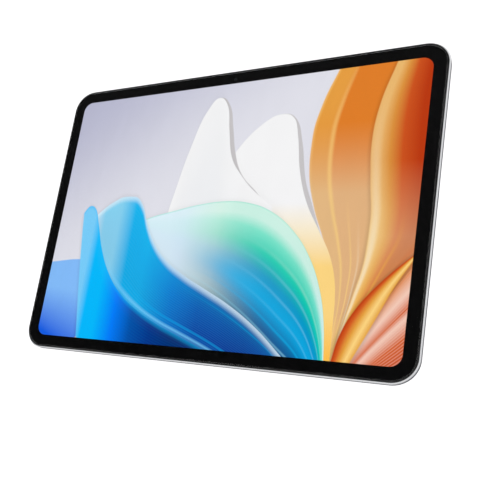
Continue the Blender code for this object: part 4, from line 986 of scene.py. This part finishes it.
class TabletStage(bpy.types.Operator):
    """Make the pale floor, the soft lamps and the camera"""

    bl_idname = "tablet.make_stage"
    bl_label = "Stage"

    def execute(self, context):
        settings = context.scene.tablet_stage
        self.make_floor(settings)
        self.make_lamps(settings)
        self.make_camera(context, settings)
        context.scene.view_settings.view_transform = "Standard"
        return {"FINISHED"}

    def make_floor(self, settings):
        """A wide floor just under the tablet, which is clear from below."""
        half_width, gap = 3.0, 0.2 * MM
        bm = bmesh.new()
        bmesh.ops.create_grid(bm, x_segments=8, y_segments=8, size=half_width)
        data = bpy.data.meshes.new("floor")
        bm.to_mesh(data)
        bm.free()
        floor = add_object("floor", data)
        floor.location.z = -gap
        finish = Finish("floor_paper")
        tint = linear(settings.floor)
        mottle = finish.noise(0.12, 3.0)
        shade = finish.mix(finish.spread(mottle), tint, tuple(c * 0.99 for c in tint))
        finish.surface(
            Base_Color=shade, Roughness=finish.spread(mottle, 0.7, 0.8), Specular_IOR_Level=0.1,
            Emission_Color=(1.0, 1.0, 1.0), Emission_Strength=settings.floor_glow,
        )
        below = finish.node("ShaderNodeNewGeometry").outputs["Backfacing"]
        clear = finish.node("ShaderNodeBsdfTransparent")
        shown = finish.node("ShaderNodeMixShader", {
            0: below, 1: finish.shader.outputs[0], 2: clear.outputs[0],
        })
        output = next(node for node in finish.tree.nodes if node.type == "OUTPUT_MATERIAL")
        finish.tree.links.new(shown.outputs[0], output.inputs["Surface"])
        data.materials.append(finish.material)

    def make_lamps(self, settings):
        """A room with four low walls of light, two soft boxes overhead and a sky paler at the back."""
        self.make_sky(settings)
        west, east, south, north = -1.5, 1.4, -1.45, 1.5
        foot, height = 0.02, 0.9
        x, y, z = (west + east) / 2, (south + north) / 2, foot + height / 2
        deep, wide = (north - south, height), (east - west, height)
        upright, quarter = math.pi / 2, math.pi / 2
        for name, place, size, turn in (
            ("side_panel", (east, y, z), deep, quarter), ("front_panel", (x, south, z), wide, 0.0),
            ("left_panel", (west, y, z), deep, -quarter), ("back_panel", (x, north, z), wide, math.pi),
        ):
            self.add_lamp(name, place, size, (upright, 0.0, turn), settings.panel)
        self.add_lamp("side_box", (0.75, 0.1, 1.0), (1.1, 2.2), (0.0, 0.0, 0.0), settings.softbox)
        self.add_lamp("front_box", (-0.6, -0.8, 1.0), (1.6, 1.2), (0.0, 0.0, 0.0), settings.softbox)

    def make_sky(self, settings):
        """Faint light that grows towards the back, with a plain pale backdrop to look at."""
        world = bpy.data.worlds.new("studio_air")
        world.use_nodes = True
        nodes, links = world.node_tree.nodes, world.node_tree.links
        air = nodes["Background"]
        air.inputs["Strength"].default_value = settings.air
        place = nodes.new("ShaderNodeTexCoord")
        split = nodes.new("ShaderNodeSeparateXYZ")
        slope = nodes.new("ShaderNodeMapRange")
        slope.inputs[1].default_value, slope.inputs[2].default_value = -0.2, 0.8
        shade = nodes.new("ShaderNodeValToRGB")
        shade.color_ramp.elements[0].color = (0.12, 0.12, 0.13, 1.0)
        shade.color_ramp.elements[1].color = (1.0, 1.0, 1.02, 1.0)
        backdrop = nodes.new("ShaderNodeBackground")
        backdrop.inputs["Color"].default_value = (0.9, 0.9, 0.91, 1.0)
        rays = nodes.new("ShaderNodeLightPath")
        both = nodes.new("ShaderNodeMixShader")
        for output, socket in (
            (place.outputs["Generated"], split.inputs[0]), (split.outputs[1], slope.inputs[0]),
            (slope.outputs[0], shade.inputs[0]), (shade.outputs[0], air.inputs["Color"]),
            (rays.outputs["Is Camera Ray"], both.inputs[0]), (air.outputs[0], both.inputs[1]),
            (backdrop.outputs[0], both.inputs[2]), (both.outputs[0], nodes["World Output"].inputs["Surface"]),
        ):
            links.new(output, socket)
        bpy.context.scene.world = world

    def add_lamp(self, name, place, size, turn, brightness):
        """A soft rectangular lamp whose face gives the same light all over."""
        data = bpy.data.lights.new(name, "AREA")
        data.shape = "RECTANGLE"
        data.size, data.size_y = size
        data.energy = brightness * math.pi * size[0] * size[1]
        lamp = add_object(name, data)
        lamp.location = place
        lamp.rotation_euler = turn

    def make_camera(self, context, settings):
        """The camera stands over the lower right of the screen, leaning and turned a little."""
        data = bpy.data.cameras.new("camera")
        data.lens = settings.lens
        data.shift_x, data.shift_y = 0.0385, 0.1786
        data.clip_start, data.clip_end = 0.01, 20.0
        camera = add_object("camera", data)
        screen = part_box("border_mask")[1].z
        camera.location = (0.16613, -0.12759, 0.28833 + screen)
        camera.rotation_euler = [math.radians(angle) for angle in (13.6716, 24.8772, 9.8676)]
        context.scene.camera = camera


SETTINGS = {
    "tablet_metal": TabletMetalSettings,
    "tablet_glass": TabletGlassSettings,
    "tablet_picture": TabletPictureSettings,
    "tablet_details": TabletDetailSettings,
    "tablet_stage": TabletStageSettings,
}
OPERATORS = (
    TabletMetal, TabletGlass, TabletPicture, TabletRearCamera, TabletFrontCamera, TabletSocket,
    TabletSound, TabletInside, TabletStage,
)


class TABLET_PT_panel(bpy.types.Panel):
    """Lists the tablet's pieces and their settings"""

    bl_idname = "TABLET_PT_panel"
    bl_label = "Tablet Computer"
    bl_space_type = "VIEW_3D"
    bl_region_type = "UI"
    bl_category = "Tablet"

    def draw(self, context):
        for name, settings in SETTINGS.items():
            box = self.layout.box()
            for key in settings.__annotations__:
                box.prop(getattr(context.scene, name), key)
        for operator in OPERATORS:
            self.layout.operator(operator.bl_idname)


def register():
    for name, settings in SETTINGS.items():
        bpy.utils.register_class(settings)
        setattr(bpy.types.Scene, name, PointerProperty(type=settings))
    for operator in OPERATORS:
        bpy.utils.register_class(operator)
    bpy.utils.register_class(TABLET_PT_panel)


def unregister():
    bpy.utils.unregister_class(TABLET_PT_panel)
    for operator in reversed(OPERATORS):
        bpy.utils.unregister_class(operator)
    for name, settings in SETTINGS.items():
        delattr(bpy.types.Scene, name)
        bpy.utils.unregister_class(settings)


def main():
    register()
    bpy.ops.tablet.finish_metal()
    bpy.ops.tablet.finish_glass()
    bpy.ops.tablet.make_picture()
    bpy.ops.tablet.make_rear_camera()
    bpy.ops.tablet.make_front_camera()
    bpy.ops.tablet.make_socket()
    bpy.ops.tablet.finish_sound()
    bpy.ops.tablet.finish_inside()
    bpy.ops.tablet.make_stage()


if __name__ == "__main__":
    main()
